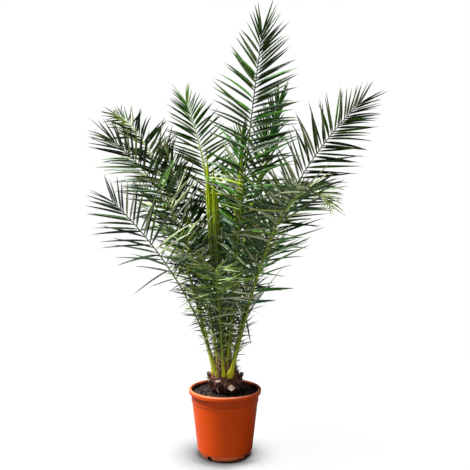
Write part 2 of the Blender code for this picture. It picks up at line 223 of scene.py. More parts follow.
# Sideways bow of a shaft at its middle, and its thickness as a share of its width
SPEAR_BOW = 0.012
SPEAR_FLAT = 0.72

# Where the petioles leave the stem: rank 0 is the outer ring and rank 1 the middle
OUTER_RING = 0.041
INNER_RING = 0.008
OUTER_BASE = 0.276
BASE_RISE = 0.042

# Petiole and rib
PETIOLE_WIDTH = 0.0205
PETIOLE_THICK = 0.0115
RIB_WIDTH = 0.0090
RIB_THICK = 0.0075
TIP_WIDTH = 0.0042
TIP_THICK = 0.0036
PETIOLE_POWER = 0.7
KEEL_SHARE = 0.62
SHORT_SCALE = 0.55
SCALE_PER_METRE = 0.45
INNER_SLIM = 0.22
RIB_START = 0.26
PATH_STEPS = 60
RIB_ROWS = 84
RIB_SIDES = 14
# Power that crowds a rib's rings towards its foot
RING_POWER = 1.25
# Shares of the rib over which its foot narrows, it slims and a stout petiole widens
FOOT_SHARE = 0.045
SLIM_SHARE = 0.3
STOUT_SHARE = 0.2
# How round the rib's section is: 1 is an ellipse and less is squarer
RIB_ROUND = 0.7
RIB_SLIM = 0.82
CHANNEL = 0.16
SHEATH_LENGTH = 0.052
BASE_SWELL = 1.35
# Petioles that clasp the stem with a broader foot
BROAD_FOOT = {"right_arch": 2.0, "left_low": 1.5}
SHEATH_ROWS = 9
# Share of a rib's colours that lies on its sheath
SHEATH_GROWTH = 0.05
# Colours from the sheath to the frond's end, of an old rib and of a young one
OLD_RIB = (
    (0.016, (0.060, 0.026, 0.014)), (0.036, (0.300, 0.200, 0.050)), (0.062, (0.680, 0.700, 0.020)),
    (0.11, (0.400, 0.480, 0.014)), (0.22, (0.110, 0.180, 0.012)), (1.00, (0.018, 0.050, 0.010)),
)
YOUNG_RIB = (
    (0.014, (0.080, 0.034, 0.016)), (0.032, (0.400, 0.280, 0.060)), (0.055, (0.760, 0.760, 0.020)),
    (0.20, (0.420, 0.480, 0.012)), (0.72, (0.360, 0.450, 0.010)), (1.00, (0.070, 0.150, 0.014)),
)

# Leaflets
TIP_SPLAY = 14.0
NARROW_FROM = 0.72
NARROW_POWER = 2.4
# Length of the leaflets along the frond, from the first pair to the tip
LEAFLET_SWELL = ((0.0, 0.62), (0.10, 0.84), (0.25, 1.0), (0.55, 1.0), (0.80, 0.84), (0.93, 0.68), (1.0, 0.60))
REDUCED_SWELL = ((0.0, 0.30), (0.5, 0.62), (1.0, 1.0))
SPINE_SWELL = ((0.0, 0.45), (0.35, 0.80), (0.8, 1.0), (1.0, 0.9))
# Outline of a leaflet: share of its length and of its width
LEAFLET_OUTLINE = (
    (0.0, 0.34), (0.05, 0.52), (0.13, 0.86), (0.26, 1.0), (0.44, 0.92), (0.62, 0.72), (0.78, 0.46),
    (0.91, 0.20),
)
LEAFLET_CREASE = 0.80
LEAFLET_KEEL = 0.05
LEAFLET_RIB = 0.07
VEINS = 11.0
REDUCED_WIDTH = 0.0066
REDUCED_SPACING = 0.0125
# A leaflet whose random number is under a limit takes the second, third or fourth tone
TONE_LIMITS = (0.62, 0.32, 0.12)
SPINE_OUTLINE = ((0.0, 1.0), (0.12, 0.78), (0.5, 0.5), (0.85, 0.2), (1.0, 0.03))
SPINE_SIDES = 5
SPINE_WIDTH = 0.0026
# Step between the fronds' seeds, and the starts for single leaflets and for reduced ones and spines
SEED_STEP = 13
LONE_SEED = 501
SPINE_SEED = 101
# Least and greatest share of a blade's length, of its width and of its sag
BLADE_LENGTHS = (0.84, 1.05)
BLADE_WIDTHS = (0.75, 1.15)
BLADE_BENDS = (0.3, 1.7)
# Power by which the disorder fades along a frond, and where a blade's dry tip begins
LOOSE_POWER = 1.6
DRY_FROM = 0.965
# Inputs of the leaflet trees
BLADE_NUMBERS = (
    "From", "To", "Crowding", "Right Gaps", "Left Gaps", "Gaps From", "Gaps To", "End Gaps", "Length",
    "End Share", "Width", "Splay", "Foot Splay", "Tip Splay", "Wobble", "Lift", "Lift Spread", "Disorder",
    "Twist", "Sag", "Hook", "Tone Lean", "Tone Drift",
)
BLADE_MATERIALS = (
    "Material", "Second Material", "Third Material", "Fourth Material", "Rib Material", "Dry Material",
)
# Where a row's gaps close, from and to, and the share that stays, for rows whose gaps don't change
NO_FADE = (0.5, 0.8, 1.0)
# What a row of blades takes where it isn't told otherwise
PLAIN_ROW = {
    "Crowding": 1.0, "Foot Splay": 0.0, "Tip Splay": TIP_SPLAY, "Disorder": 0.0, "End Share": 1.0,
    "Tone Lean": 0.0, "Tone Drift": 0.0, "Gaps From": NO_FADE[0], "Gaps To": NO_FADE[1],
    "End Gaps": NO_FADE[2],
}
# Attributes that only serve to build the leaflets
SCRATCH = (
    "face", "half_width", "spot", "side", "place", "share", "edge", "forward", "upper", "shift",
    "blade_length", "tone", "bend", "hook", "along", "midrib",
)

# name, azimuth, rank, lean at the base, lean at the tip, bend power, length, sweep, roll,
# longest leaflet, splay, lift of the two sides, share of the length that is bare petiole
FRONDS = (
    ("front_tall", -68, 0.60, 10.5, 12.5, 1.6, 1.18, 15, -46, 0.205, 62, 20, 0.20),
    ("right", 15, 0.36, 11, 48, 1.3, 1.13, 0, 78, 0.200, 52, 12, 0.24),
    ("right_young", -25, 0.46, 10, 38, 1.5, 0.70, 0, 40, 0.145, 50, 18, 0.28),
    ("right_arch", -64, 0.08, 29, 123, 2.9, 1.09, -14, 0, 0.200, 57, 20, 0.20),
    ("left_low", 230, 0.00, 17.5, 55, 0.8, 0.81, 2.5, 45, 0.165, 52, 15, 0.52),
    ("left_back", 153, 0.00, 17, 72, 4.1, 1.15, -15, -50, 0.175, 52, 15, 0.30),
    ("left_front", 217, 0.46, 10, 58, 1.6, 0.94, 2, 45, 0.165, 52, 15, 0.38),
    ("back_left", 122, 0.70, 2.5, 32, 1.5, 1.04, 4, -25, 0.175, 60, 15, 0.24),
    ("mid_left", 171, 0.46, 6, 28, 1.4, 0.83, -25, -60, 0.140, 48, 20, 0.30),
    ("spear", -10, 0.90, 5, 17, 1.0, 0.97, 2, 60, 0.150, 42, 25, 0.38),
    ("back_arch", 82, 0.06, 18, 105, 1.8, 1.02, 2, 10, 0.180, 55, 20, 0.24),
    ("back_low", 114, 0.00, 26, 92, 1.5, 0.86, -8, 0, 0.170, 55, 20, 0.24),
    ("back_right", 48, 0.00, 15, 72, 1.8, 0.88, 4, 20, 0.170, 55, 18, 0.26),
    ("front_low", 263, 0.05, 22, 90, 1.4, 0.72, 8, 0, 0.140, 55, 20, 0.26),
    ("centre", 52, 0.76, 3, 10, 1.5, 0.86, 0, 0, 0.140, 40, 25, 0.42),
    ("left_short", 188, 0.00, 9, 38, 1.5, 0.72, 0, 40, 0.140, 50, 20, 0.26),
)
FIELDS = (
    "name", "azimuth", "rank", "lean", "tip_lean", "bend", "length", "sweep", "roll",
    "leaflet", "splay", "lift", "bare",
)

# Colours are linear red, green, blue
LEAF_TONES = {
    "black": (0.010, 0.024, 0.008),
    "deep": (0.018, 0.053, 0.013),
    "dark": (0.035, 0.092, 0.019),
    "mid": (0.072, 0.160, 0.026),
    "teal": (0.022, 0.105, 0.045),
    "vivid": (0.048, 0.170, 0.016),
    "olive": (0.130, 0.160, 0.030),
    "fresh": (0.170, 0.300, 0.024),
    "lime": (0.330, 0.430, 0.030),
    # pale stands in for glare on waxy leaflets: a painted highlight dealt to some leaflets
    "pale": (0.370, 0.420, 0.230),
    # rib lights the middle strip of every leaflet's fold: partly its real paler midrib, partly a painted
    # highlight
    "rib": (0.220, 0.300, 0.070),
    "straw": (0.330, 0.250, 0.110),
}
# Four leaflet tones from the commonest to the rarest, and how young the rib looks from 0 to 1
FROND_TONES = {
    "front_tall": ("deep", "dark", "vivid", "black", 0.15),
    "right": ("deep", "mid", "pale", "pale", 0.20),
    "right_young": ("dark", "pale", "olive", "mid", 0.55),
    "right_arch": ("deep", "dark", "olive", "pale", 0.50),
    "left_low": ("black", "deep", "dark", "pale", 0.35),
    "left_back": ("deep", "dark", "olive", "pale", 0.75),
    "left_front": ("black", "deep", "mid", "pale", 0.60),
    "back_left": ("mid", "vivid", "fresh", "pale", 1.00),
    "mid_left": ("black", "dark", "olive", "pale", 0.80),
    "spear": ("vivid", "teal", "fresh", "dark", 1.00),
    "back_arch": ("dark", "teal", "deep", "mid", 0.40),
    "back_low": ("deep", "dark", "mid", "teal", 0.35),
    "back_right": ("mid", "teal", "pale", "dark", 0.40),
    "front_low": ("deep", "olive", "fresh", "pale", 0.55),
    "centre": ("mid", "vivid", "pale", "fresh", 1.00),
    "left_short": ("black", "fresh", "lime", "pale", 0.80),
}
# Narrower leaflets than the rest
FROND_SLIM = {
    "front_low": 0.50, "mid_left": 0.82, "left_short": 0.66, "right_young": 0.85, "left_low": 0.74,
    "left_back": 0.92, "left_front": 0.78, "back_left": 0.88, "right": 0.92, "right_arch": 0.66,
}
# How crowded the leaflets are against the rest
FROND_CROWD = {
    "front_low": 1.9, "right_arch": 1.6, "left_short": 1.3, "mid_left": 1.4, "left_back": 1.15,
    "left_front": 1.2, "front_tall": 1.1, "left_low": 0.86,
}
# Leaflets that shrink towards the frond's end, as a share of their length
FROND_END = {"right_arch": 0.52, "left_back": 0.80}
# Painted light and shade: how far the commoner, darker tones gather on the right of a rib, or on its left
# where below zero, so that the rarer, paler ones stand on the other side as if lit
FROND_SHADE_LEAN = {"right": 0.34, "left_low": 0.12, "right_arch": -0.12}
# How far the tones drift to the rarer ones towards the frond's end, where below zero
FROND_DRIFT = {"right_arch": -0.36, "left_back": -0.06}
# Short leaflets on a bare petiole: share of their length, and share missing on the right and on the left
FROND_REDUCED = {
    "left_low": (0.45, 0.65, 0.30), "right_arch": (0.80, 0.10, 0.55), "left_short": (0.75, 0.30, 0.10),
}
# Fronds whose leaflets stand more loosely than the rest
FROND_LOOSE = {
    "right_arch": 2.8, "front_low": 3.2, "left_short": 2.4, "mid_left": 1.7, "left_back": 3.3,
    "left_front": 1.5,
}
# How stout a young petiole stays, and the share of the frond where it has narrowed to its rib
STOUT = {"back_left": (2.6, 0.86), "spear": (2.2, 0.70), "centre": (2.2, 0.55), "mid_left": (1.5, 0.45)}
# Share of the leaflets missing on the right and on the left of a rib
FROND_GAPS = {
    "front_tall": (0.37, 0.0), "left_short": (0.1, 0.1), "right_arch": (0.10, 0.72),
    "right": (0.78, 0.0), "back_right": (0.65, 0.0),
}
# Where those gaps close again along the leaflets, from and to, and the share of them that stays
FROND_GAP_FADE = {
    "right_arch": (0.50, 0.80, 0.25), "right": (0.08, 0.42, 0.0), "back_right": (0.3, 0.8, 0.4),
}
# Single leaflets that stand out, by frond: start and end on the rib, number, side (1 right, -1 left), length,
# width, splay, wobble, hook and four tones
LONE_LEAFLETS = {
    "front_tall": ((0.48, 0.61, 10, 1, 0.175, 0.0070, 86.0, 9.0, 0.22, "pale", "lime", "pale", "fresh"),),
    "right_arch": (
        (0.345, 0.35, 1, -1, 0.215, 0.0120, 99.0, 1.0, 0.00, "teal", "teal", "dark", "dark"),
        (0.240, 0.245, 1, -1, 0.225, 0.0085, 156.0, 2.0, 0.02, "deep", "deep", "deep", "deep"),
        (0.40, 0.50, 3, -1, 0.185, 0.0090, 66.0, 8.0, 0.12, "mid", "teal", "dark", "mid"),
        (0.30, 0.305, 1, -1, 0.135, 0.0100, 99.0, 1.0, 0.00, "teal", "teal", "dark", "dark"),
    ),
}
# Fronds whose leaflets make up each piece
LEAFLET_GROUPS = {
    "leaflets_left": ("left_low", "left_back", "left_front", "left_short", "mid_left"),
    "leaflets_right": ("right", "right_young", "right_arch"),
    "leaflets_back": ("back_left", "back_arch", "back_low", "back_right"),
    "leaflets_middle": ("front_tall", "spear", "centre", "front_low"),
}

# Studio: the camera stands level in front of the pot and looks along +Y
CAMERA_BACK = 2.30
CAMERA_HEIGHT = 0.876
CAMERA_LENS = 49.03
CAMERA_SENSOR = 36.0
CAMERA_SHIFT = (0.0213, -0.0553)
# Lights: name, size, place and what they are aimed at
LIGHTS = (
    ("key", 1.3, (-2.9, -0.4, 5.4), (0.0, 0.0, 0.75)),
    ("overhead", 2.6, (-0.9, 0.3, 7.0), (0.0, 0.0, 0.0)),
    ("front", 1.0, (2.4, -4.0, 2.4), (0.0, 0.0, 0.75)),
)
FLOOR_RADIUS = 2.0
FLOOR_GREY = (0.32, 0.32, 0.33)
FLOOR_GLOW = 0.955
FLOOR_SHADE = 0.35


class PotSettings(bpy.types.PropertyGroup):
    plastic: FloatVectorProperty(
        name="Plastic", description="Colour of the moulded plastic", subtype="COLOR",
        default=(0.60, 0.062, 0.0022), min=0.0, max=1.0,
    )
    notches: IntProperty(
        name="Drain notches", description="Notches round the foot", default=4, min=1, max=24,
    )
    crumbs: IntProperty(
        name="Crumbs", description="Loose crumbs of compost on the bed", default=1700, min=0, max=5000,
    )
    crumb_size: FloatProperty(
        name="Crumb size", description="Mean width of a crumb", unit="LENGTH", default=0.0055,
        min=0.0005, max=0.02,
    )


class StemSettings(bpy.types.PropertyGroup):
    relief: FloatProperty(
        name="Relief", description="Depth of the old leaf scars", unit="LENGTH", default=0.0060,
        min=0.0, max=0.02,
    )
    fibres: IntProperty(
        name="Fibres", description="Loose strands of fibre round the stem", default=900, min=0, max=5000,
    )
    fibre_length: FloatProperty(
        name="Fibre length", description="Length of a strand", unit="LENGTH", default=0.034,
        min=0.005, max=0.1,
    )


class FrondSettings(bpy.types.PropertyGroup):
    spacing: FloatProperty(
        name="Leaflet spacing", description="Distance between leaflets on one side of a rib",
        unit="LENGTH", default=0.0150, min=0.008, max=0.1,
    )
    width: FloatProperty(
        name="Leaflet width", description="Width of a full leaflet laid flat", unit="LENGTH",
        default=0.0108, min=0.003, max=0.05,
    )
    sag: FloatProperty(
        name="Sag", description="How far a leaflet's tip hangs, as a share of its length",
        default=0.06, min=0.0, max=0.5,
    )
    disorder: FloatProperty(
        name="Disorder", description="How far the lowest leaflets stray from the rib's plane",
        unit="ROTATION", default=math.radians(34.0), min=0.0, max=1.5,
    )
    reduced: FloatProperty(
        name="Reduced leaflets",
        description="Length of the short leaflets between the spines and the full ones",
        unit="LENGTH", default=0.105, min=0.0, max=0.2,
    )
    spines: FloatProperty(
        name="Spine length", description="Length of the spines on the petiole", unit="LENGTH",
        default=0.062, min=0.0, max=0.15,
    )
    seed: IntProperty(name="Seed", description="Seed of the leaflets' small differences", default=7)


class StudioSettings(bpy.types.PropertyGroup):
    key: FloatProperty(
        name="Key light", description="Power of the light high on the left", unit="POWER",
        default=970.0, min=0.0,
    )
    overhead: FloatProperty(
        name="Overhead light", description="Power of the light above the plant", unit="POWER",
        default=300.0, min=0.0,
    )
    front: FloatProperty(
        name="Front light", description="Power of the weak light beside the camera", unit="POWER",
        default=34.0, min=0.0,
    )
    fill: FloatProperty(
        name="Room light", description="Strength of the light from all round", default=0.07, min=0.0,
    )


class Nodes:
    """Short ways to add and link the nodes of one tree."""

    def __init__(self, tree):
        self.tree = tree

    def plug(self, value, socket):
        if isinstance(value, bpy.types.NodeSocket):
            self.tree.links.new(value, socket)
        else:
            socket.default_value = value

    def add(self, kind, *values, inputs=None, **settings):
        """A node with its settings, its first inputs in order and others by name or identifier."""
        node = self.tree.nodes.new(kind)
        for key, value in settings.items():
            setattr(node, key, value)
        for value, socket in zip(values, node.inputs):
            self.plug(value, socket)
        for key, value in (inputs or {}).items():
            self.plug(value, next(s for s in node.inputs if key in (s.identifier, s.name)))
        return node

    def math(self, operation, *values):
        return self.add("ShaderNodeMath", *values, operation=operation).outputs[0]

    def times(self, first, second):
        return self.math("MULTIPLY", first, second)

    def plus(self, first, second):
        return self.math("ADD", first, second)

    def minus(self, first, second):
        return self.math("SUBTRACT", first, second)

    def vector(self, operation, *values):
        return self.add("ShaderNodeVectorMath", *values, operation=operation).outputs[0]

    def scaled(self, vector, number):
        node = self.add("ShaderNodeVectorMath", vector, inputs={"Scale": number}, operation="SCALE")
        return node.outputs[0]

    def remap(self, value, low, high, to_low, to_high):
        return self.add("ShaderNodeMapRange", value, low, high, to_low, to_high).outputs[0]


class Finish(Nodes):
    """A material with a Principled shader, and short ways to pattern it."""

    def __init__(self, name, colour, roughness, specular=None):
        self.material = bpy.data.materials.new(name)
        self.material.use_nodes = True
        self.material.diffuse_color = (*colour, 1.0)
        super().__init__(self.material.node_tree)
        self.surface = self.tree.nodes["Principled BSDF"].inputs
        self.surface["Base Color"].default_value = (*colour, 1.0)
        self.surface["Roughness"].default_value = roughness
        if specular is not None:
            self.surface["Specular IOR Level"].default_value = specular

    def place(self, scale=(1.0, 1.0, 1.0)):
        """Object coordinates, stretched along the axes."""
        where = self.add("ShaderNodeTexCoord").outputs["Object"]
        return self.add("ShaderNodeMapping", where, inputs={"Scale": scale}).outputs[0]

    def height(self):
        return self.add("ShaderNodeSeparateXYZ", self.place()).outputs["Z"]

    def cloud(self, where, scale, detail=4.0, roughness=0.6):
        extra = {"Vector": where, "Scale": scale, "Detail": detail, "Roughness": roughness}
        return self.add("ShaderNodeTexNoise", inputs=extra).outputs["Fac"]

    def ramp(self, factor, *stops):
        """Colours along a number: (place, colour) pairs."""
        node = self.add("ShaderNodeValToRGB", factor)
        points = node.color_ramp.elements
        while len(points) < len(stops):
            points.new(0.5)
        for point, (place, colour) in zip(points, stops):
            point.position = place
            point.color = (*colour, 1.0)
        return node.outputs["Color"]

    def blend(self, factor, first, second):
        first, second = ((*side, 1.0) if isinstance(side, tuple) else side for side in (first, second))
        extra = {"Factor_Float": factor, "A_Color": first, "B_Color": second}
        node = self.add("ShaderNodeMix", inputs=extra, data_type="RGBA")
        return next(s for s in node.outputs if s.identifier == "Result_Color")

    def colour(self, tone):
        self.plug(tone, self.surface["Base Color"])

    def gloss(self, grain, low, high):
        """Roughness that wanders between two values with a grain."""
        self.plug(self.remap(grain, 0.3, 0.7, low, high), self.surface["Roughness"])

    def bump(self, height, distance, strength=1.0):
        extra = {"Height": height, "Distance": distance, "Strength": strength}
        self.plug(self.add("ShaderNodeBump", inputs=extra).outputs["Normal"], self.surface["Normal"])


class GeometryTree(Nodes):
    """A geometry node tree with named inputs, given by their kind."""

    def __init__(self, name, **inputs):
        super().__init__(bpy.data.node_groups.new(name, "GeometryNodeTree"))
        sockets = self.tree.interface
        sockets.new_socket("Geometry", in_out="INPUT", socket_type="NodeSocketGeometry")
        sockets.new_socket("Geometry", in_out="OUTPUT", socket_type="NodeSocketGeometry")
        for kind, labels in inputs.items():
            for label in labels:
                sockets.new_socket(label, in_out="INPUT", socket_type="NodeSocket" + kind)
        self.entry = self.tree.nodes.new("NodeGroupInput")
        self.exit = self.tree.nodes.new("NodeGroupOutput")

    def read(self, label):
        return self.entry.outputs[label]

    def finish(self, geometry, material, chosen=True):
        """Ends the tree by giving the chosen faces their material."""
        node = self.add("GeometryNodeSetMaterial", geometry, chosen, material)
        self.plug(node.outputs[0], self.exit.inputs[0])

    def random(self, low, high, salt):
        seed = self.plus(self.read("Seed"), float(salt))
        node = self.add(
            "FunctionNodeRandomValue", inputs={"Min_001": low, "Max_001": high, "Seed": seed},
            data_type="FLOAT",
        )
        return next(s for s in node.outputs if s.identifier == "Value_001")

    def turn(self, *angles):
        """A rotation from three angles."""
        spin = self.add("ShaderNodeCombineXYZ", *angles).outputs[0]
        return self.add("FunctionNodeEulerToRotation", spin).outputs[0]

    def geometry_of(self, label):
        return self.add("GeometryNodeObjectInfo", self.read(label)).outputs["Geometry"]

    def attribute(self, name, data_type="FLOAT"):
        return self.add("GeometryNodeInputNamedAttribute", name, data_type=data_type).outputs[0]

    def direction(self, name):
        return self.attribute(name, "FLOAT_VECTOR")

    def store(self, geometry, name, value, data_type="FLOAT"):
        node = self.add(
            "GeometryNodeStoreNamedAttribute", geometry, inputs={"Name": name, "Value": value},
            data_type=data_type, domain="POINT",
        )
        return node.outputs[0]


def new_object(name, mesh):
    item = bpy.data.objects.new(name, mesh)
    bpy.context.scene.collection.objects.link(item)
    return item


def remove(item):
    bpy.data.objects.remove(item, do_unlink=True)


def bake(item):
    """Replaces an object's mesh by its evaluated mesh and drops the modifiers."""
    graph = bpy.context.evaluated_depsgraph_get()
    mesh = bpy.data.meshes.new_from_object(
        item.evaluated_get(graph), preserve_all_data_layers=True, depsgraph=graph,
    )
    item.modifiers.clear()
    item.data = mesh
    return item


def grow(item, tree, values):
    """Runs a geometry node tree on an object with the given inputs and keeps the plain mesh."""
    modifier = item.modifiers.new(tree.tree.name, "NODES")
    modifier.node_group = tree.tree
    sockets = {s.name: s.identifier for s in tree.tree.interface.items_tree if s.in_out == "INPUT"}
    for label, value in values.items():
        modifier[sockets[label]] = value
    return bake(item)


def join(name, items):
    """Joins objects into the first one, names it and drops the attributes that only built it."""
    with bpy.context.temp_override(
        active_object=items[0], object=items[0], selected_objects=items, selected_editable_objects=items,
    ):
        bpy.ops.object.join()
    item = items[0]
    item.name = name
    item.data.name = name
    for scratch in SCRATCH:
        found = item.data.attributes.get(scratch)
        if found:
            item.data.attributes.remove(found)
    return item


def made(name, shape, outward=True):
    """Turns a finished bmesh into an object, its faces turned outwards if asked."""
    if outward:
        bmesh.ops.recalc_face_normals(shape, faces=shape.faces)
    mesh = bpy.data.meshes.new(name)
    shape.to_mesh(mesh)
    shape.free()
    return new_object(name, mesh)


def turns(count):
    """Equal angles round a circle."""
    return [2.0 * math.pi * i / count for i in range(count)]


def band(shape, low, high):
    """Faces between two closed loops of equal counts."""
    for i in range(len(low)):
        j = (i + 1) % len(low)
        shape.faces.new((low[i], low[j], high[j], high[i]))


def settle(item, nodes=()):
    """Hands a finished piece to the frame: its body and the solids it stands for."""
    if not item.data.polygons:
        raise RuntimeError(f"{item.name} has no faces")
    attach(item, BODY)
    if nodes:
        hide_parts(*nodes)
    return item


def smooth(item, angle=40.0):
    item.data.shade_smooth()
    item.data.set_sharp_from_angle(angle=math.radians(angle))


def turned(name, profile, steps):
    """A solid of revolution from (radius, height) points, outer side first, axis to axis."""
    mesh = bpy.data.meshes.new(name)
    points = [(radius, 0.0, height) for radius, height in profile]
    mesh.from_pydata(points, [(i, i + 1) for i in range(len(points) - 1)], [])
    item = new_object(name, mesh)
    screw = item.modifiers.new("Turn", "SCREW")
    screw.steps = steps
    screw.render_steps = steps
    screw.use_merge_vertices = True
    screw.merge_threshold = 0.00001
    return bake(item)


def arc(centre, radius, start, end, steps=ARC_STEPS):
    """Points of a round stretch of a profile, angles in degrees from the radius axis."""
    angles = [math.radians(start + (end - start) * i / steps) for i in range(steps + 1)]
    return [(centre[0] + radius * math.cos(a), centre[1] + radius * math.sin(a)) for a in angles]


def mix(low, high, share):
    return low + (high - low) * share


def eased(share):
    share = min(max(share, 0.0), 1.0)
    return share * share * (3.0 - 2.0 * share)


def loft(shape, rings, values=None, layer=None):
    """Closed skin through rings of equal counts in a bmesh, with a number for each ring if given."""
    loops = []
    for index, ring in enumerate(rings):
        loop = [shape.verts.new(point) for point in ring]
        if layer is not None:
            for vertex in loop:
                vertex[layer] = values[index]
        loops.append(loop)
    for low, high in zip(loops, loops[1:]):
        band(shape, low, high)
    shape.faces.new(list(reversed(loops[0])))
    return shape.faces.new(loops[-1])


def tint(colour, share):
    return tuple(min(1.0, channel * share) for channel in colour)


def pot_plastic(colour):
    """Dyed moulded plastic: flow marks, a painted highlight along the rim's top, painted shade on the collar
    and under the lip, dust, a rubbed foot and painted shade at its bottom edge.
    """
    finish = Finish("pot plastic", colour, 0.46, 0.07)
    where = finish.place()
    height = finish.height()
    flow = finish.cloud(finish.place((1.0, 1.0, 0.18)), 34.0, 3.0)
    patches = finish.cloud(where, 9.0, 5.0)
    base = finish.ramp(patches, (0.30, tint(colour, 0.90)), (0.70, tint(colour, 1.06)))
    low = finish.remap(height, 0.0, 0.035, 0.18, 0.0)
    dusty = finish.times(low, finish.remap(finish.cloud(where, 60.0), 0.42, 0.68, 0.0, 0.7))
    # Painted highlight: the top of the rim lighter salmon, as a lit edge.
    painted_rim_highlight = finish.remap(height, RIM_HEIGHT - 0.006, RIM_HEIGHT - 0.001, 0.0, 0.60)
    base = finish.blend(painted_rim_highlight, base, (0.74, 0.270, 0.140))
    # Painted shade: the whole collar darker, and darker still just under the lip.
    shade_under_lip = finish.remap(height, LIP_FOOT - 0.012, LIP_FOOT, 0.0, 0.28)
    shade_on_collar = finish.remap(height, COLLAR_FOOT - 0.001, COLLAR_FOOT + 0.001, 0.0, 0.30)
    below_lip = finish.remap(height, LIP_FOOT, LIP_FOOT + 0.002, 1.0, 0.0)
    painted_collar_shade = finish.times(finish.plus(shade_under_lip, shade_on_collar), below_lip)
    base = finish.blend(painted_collar_shade, base, (0.25, 0.035, 0.010))
    rubbed = finish.remap(height, FOOT_HEIGHT - 0.002, FOOT_HEIGHT - 0.001, 0.40, 0.0)
    rubbed = finish.times(rubbed, finish.remap(patches, 0.35, 0.55, 0.5, 1.0))
    base = finish.blend(rubbed, base, (0.56, 0.230, 0.120))
    # Painted shade: the foot darker over its lowest 9 mm, most at the floor.
    painted_foot_shade = finish.remap(height, 0.002, 0.009, 0.65, 0.0)
    base = finish.blend(painted_foot_shade, base, (0.060, 0.018, 0.010))
    finish.colour(finish.blend(dusty, base, (0.30, 0.17, 0.10)))
    finish.gloss(flow, 0.36, 0.50)
    grain = finish.cloud(where, 420.0, 2.0)
    finish.bump(finish.plus(finish.times(flow, 0.5), finish.times(grain, 0.3)), 0.0004, 0.5)
    return finish.material


def darkened_inner_plastic(colour):
    """The pot's inner wall: the plastic at under half its brightness, with near-black blotches."""
    finish = Finish("pot inside", tint(colour, 0.3), 0.7, 0.2)
    blotches = finish.remap(finish.cloud(finish.place(), 70.0, 6.0, 0.7), 0.30, 0.52, 0.15, 1.0)
    # The inner wall is drawn as the plastic at under half its brightness, blotched near-black.
    finish.colour(finish.blend(blotches, tint(colour, 0.45), (0.014, 0.010, 0.008)))
    finish.bump(blotches, 0.0006)
    return finish.material


def compost():
    """Moist dark compost with a few lighter fibres."""
    finish = Finish("compost", (0.012, 0.009, 0.007), 0.92, 0.2)
    where = finish.place()
    lumps = finish.cloud(where, 150.0, 8.0, 0.7)
    finish.colour(finish.ramp(
        lumps, (0.30, (0.002, 0.002, 0.002)), (0.55, (0.007, 0.005, 0.004)), (0.75, (0.040, 0.026, 0.017)),
    ))
    finish.gloss(finish.cloud(where, 90.0), 0.65, 1.0)
    finish.bump(lumps, 0.003)
    return finish.material


def perlite():
    """Dull off-white grains."""
    finish = Finish("perlite", (0.62, 0.58, 0.50), 0.9)
    finish.gloss(finish.cloud(finish.place(), 300.0), 0.8, 1.0)
    finish.bump(finish.cloud(finish.place(), 900.0), 0.001)
    return finish.material


def fibrous(name, browns, stretch, scale, soiled=False):
    """Matted plant fibre: streaks in three browns, and compost that clings low down where it is soiled."""
    finish = Finish(name, browns[1], 0.85)
    streaks = finish.cloud(finish.place((1.0, 1.0, stretch)), scale, 8.0, 0.72)
    tone = finish.ramp(streaks, *zip((0.30, 0.50, 0.70), browns))
    if soiled:
        edge = finish.plus(finish.height(), finish.times(finish.cloud(finish.place(), 90.0), 0.03))
        share = finish.remap(edge, SOIL_TOP + 0.012, SOIL_TOP + SOIL_MARK + 0.015, 1.0, 0.0)
        tone = finish.blend(share, tone, (0.010, 0.006, 0.005))
    finish.colour(tone)
    finish.bump(streaks, 0.0025)
    return finish.material


def fibre(name, colour):
    """A strand or crumb of plain colour with a dry, uneven gloss."""
    finish = Finish(name, colour, 0.8, 0.2)
    finish.gloss(finish.cloud(finish.place(), 120.0), 0.7, 0.95)
    return finish.material


def cut_face(name, browns, stained):
    """The dried face of a sawn leaf base, dotted with the ends of its fibres."""
    finish = Finish(name, browns[1], 0.8)
    where = finish.place()
    dots = finish.add("ShaderNodeTexVoronoi", inputs={"Vector": where, "Scale": 620.0}).outputs["Distance"]
    tone = finish.ramp(dots, *zip((0.10, 0.32, 0.70), browns))
    stain = finish.remap(finish.cloud(where, 45.0), 0.42, 0.66, 0.0, stained)
    finish.colour(finish.blend(stain, tone, (0.085, 0.045, 0.022)))
    finish.bump(dots, 0.0012)
    return finish.material


def rib_green():
    """Petiole and rib: yellow at the sheath, green and then dark further out, older ribs darker."""
    finish = Finish("rib green", (0.10, 0.19, 0.02), 0.42, 0.22)
    growth = finish.add("ShaderNodeAttribute", attribute_name="growth").outputs["Fac"]
    young = finish.add("ShaderNodeAttribute", attribute_name="young").outputs["Fac"]
    tone = finish.blend(young, finish.ramp(growth, *OLD_RIB), finish.ramp(growth, *YOUNG_RIB))
    where = finish.place()
    speck = finish.remap(finish.cloud(where, 260.0, 3.0), 0.55, 0.75, 0.0, 0.5)
    streaks = finish.cloud(finish.place((1.0, 1.0, 0.10)), 330.0, 3.0)
    grown = finish.remap(growth, 0.06, 0.16, 0.25, 1.0)
    lines = finish.times(finish.remap(streaks, 0.40, 0.62, 0.75, 0.0), grown)
    lined = finish.blend(lines, tone, (0.045, 0.095, 0.014))
    finish.colour(finish.blend(speck, lined, (0.09, 0.07, 0.03)))
    finish.gloss(finish.cloud(where, 70.0), 0.34, 0.52)
    finish.bump(streaks, 0.0007, 0.7)
    return finish.material


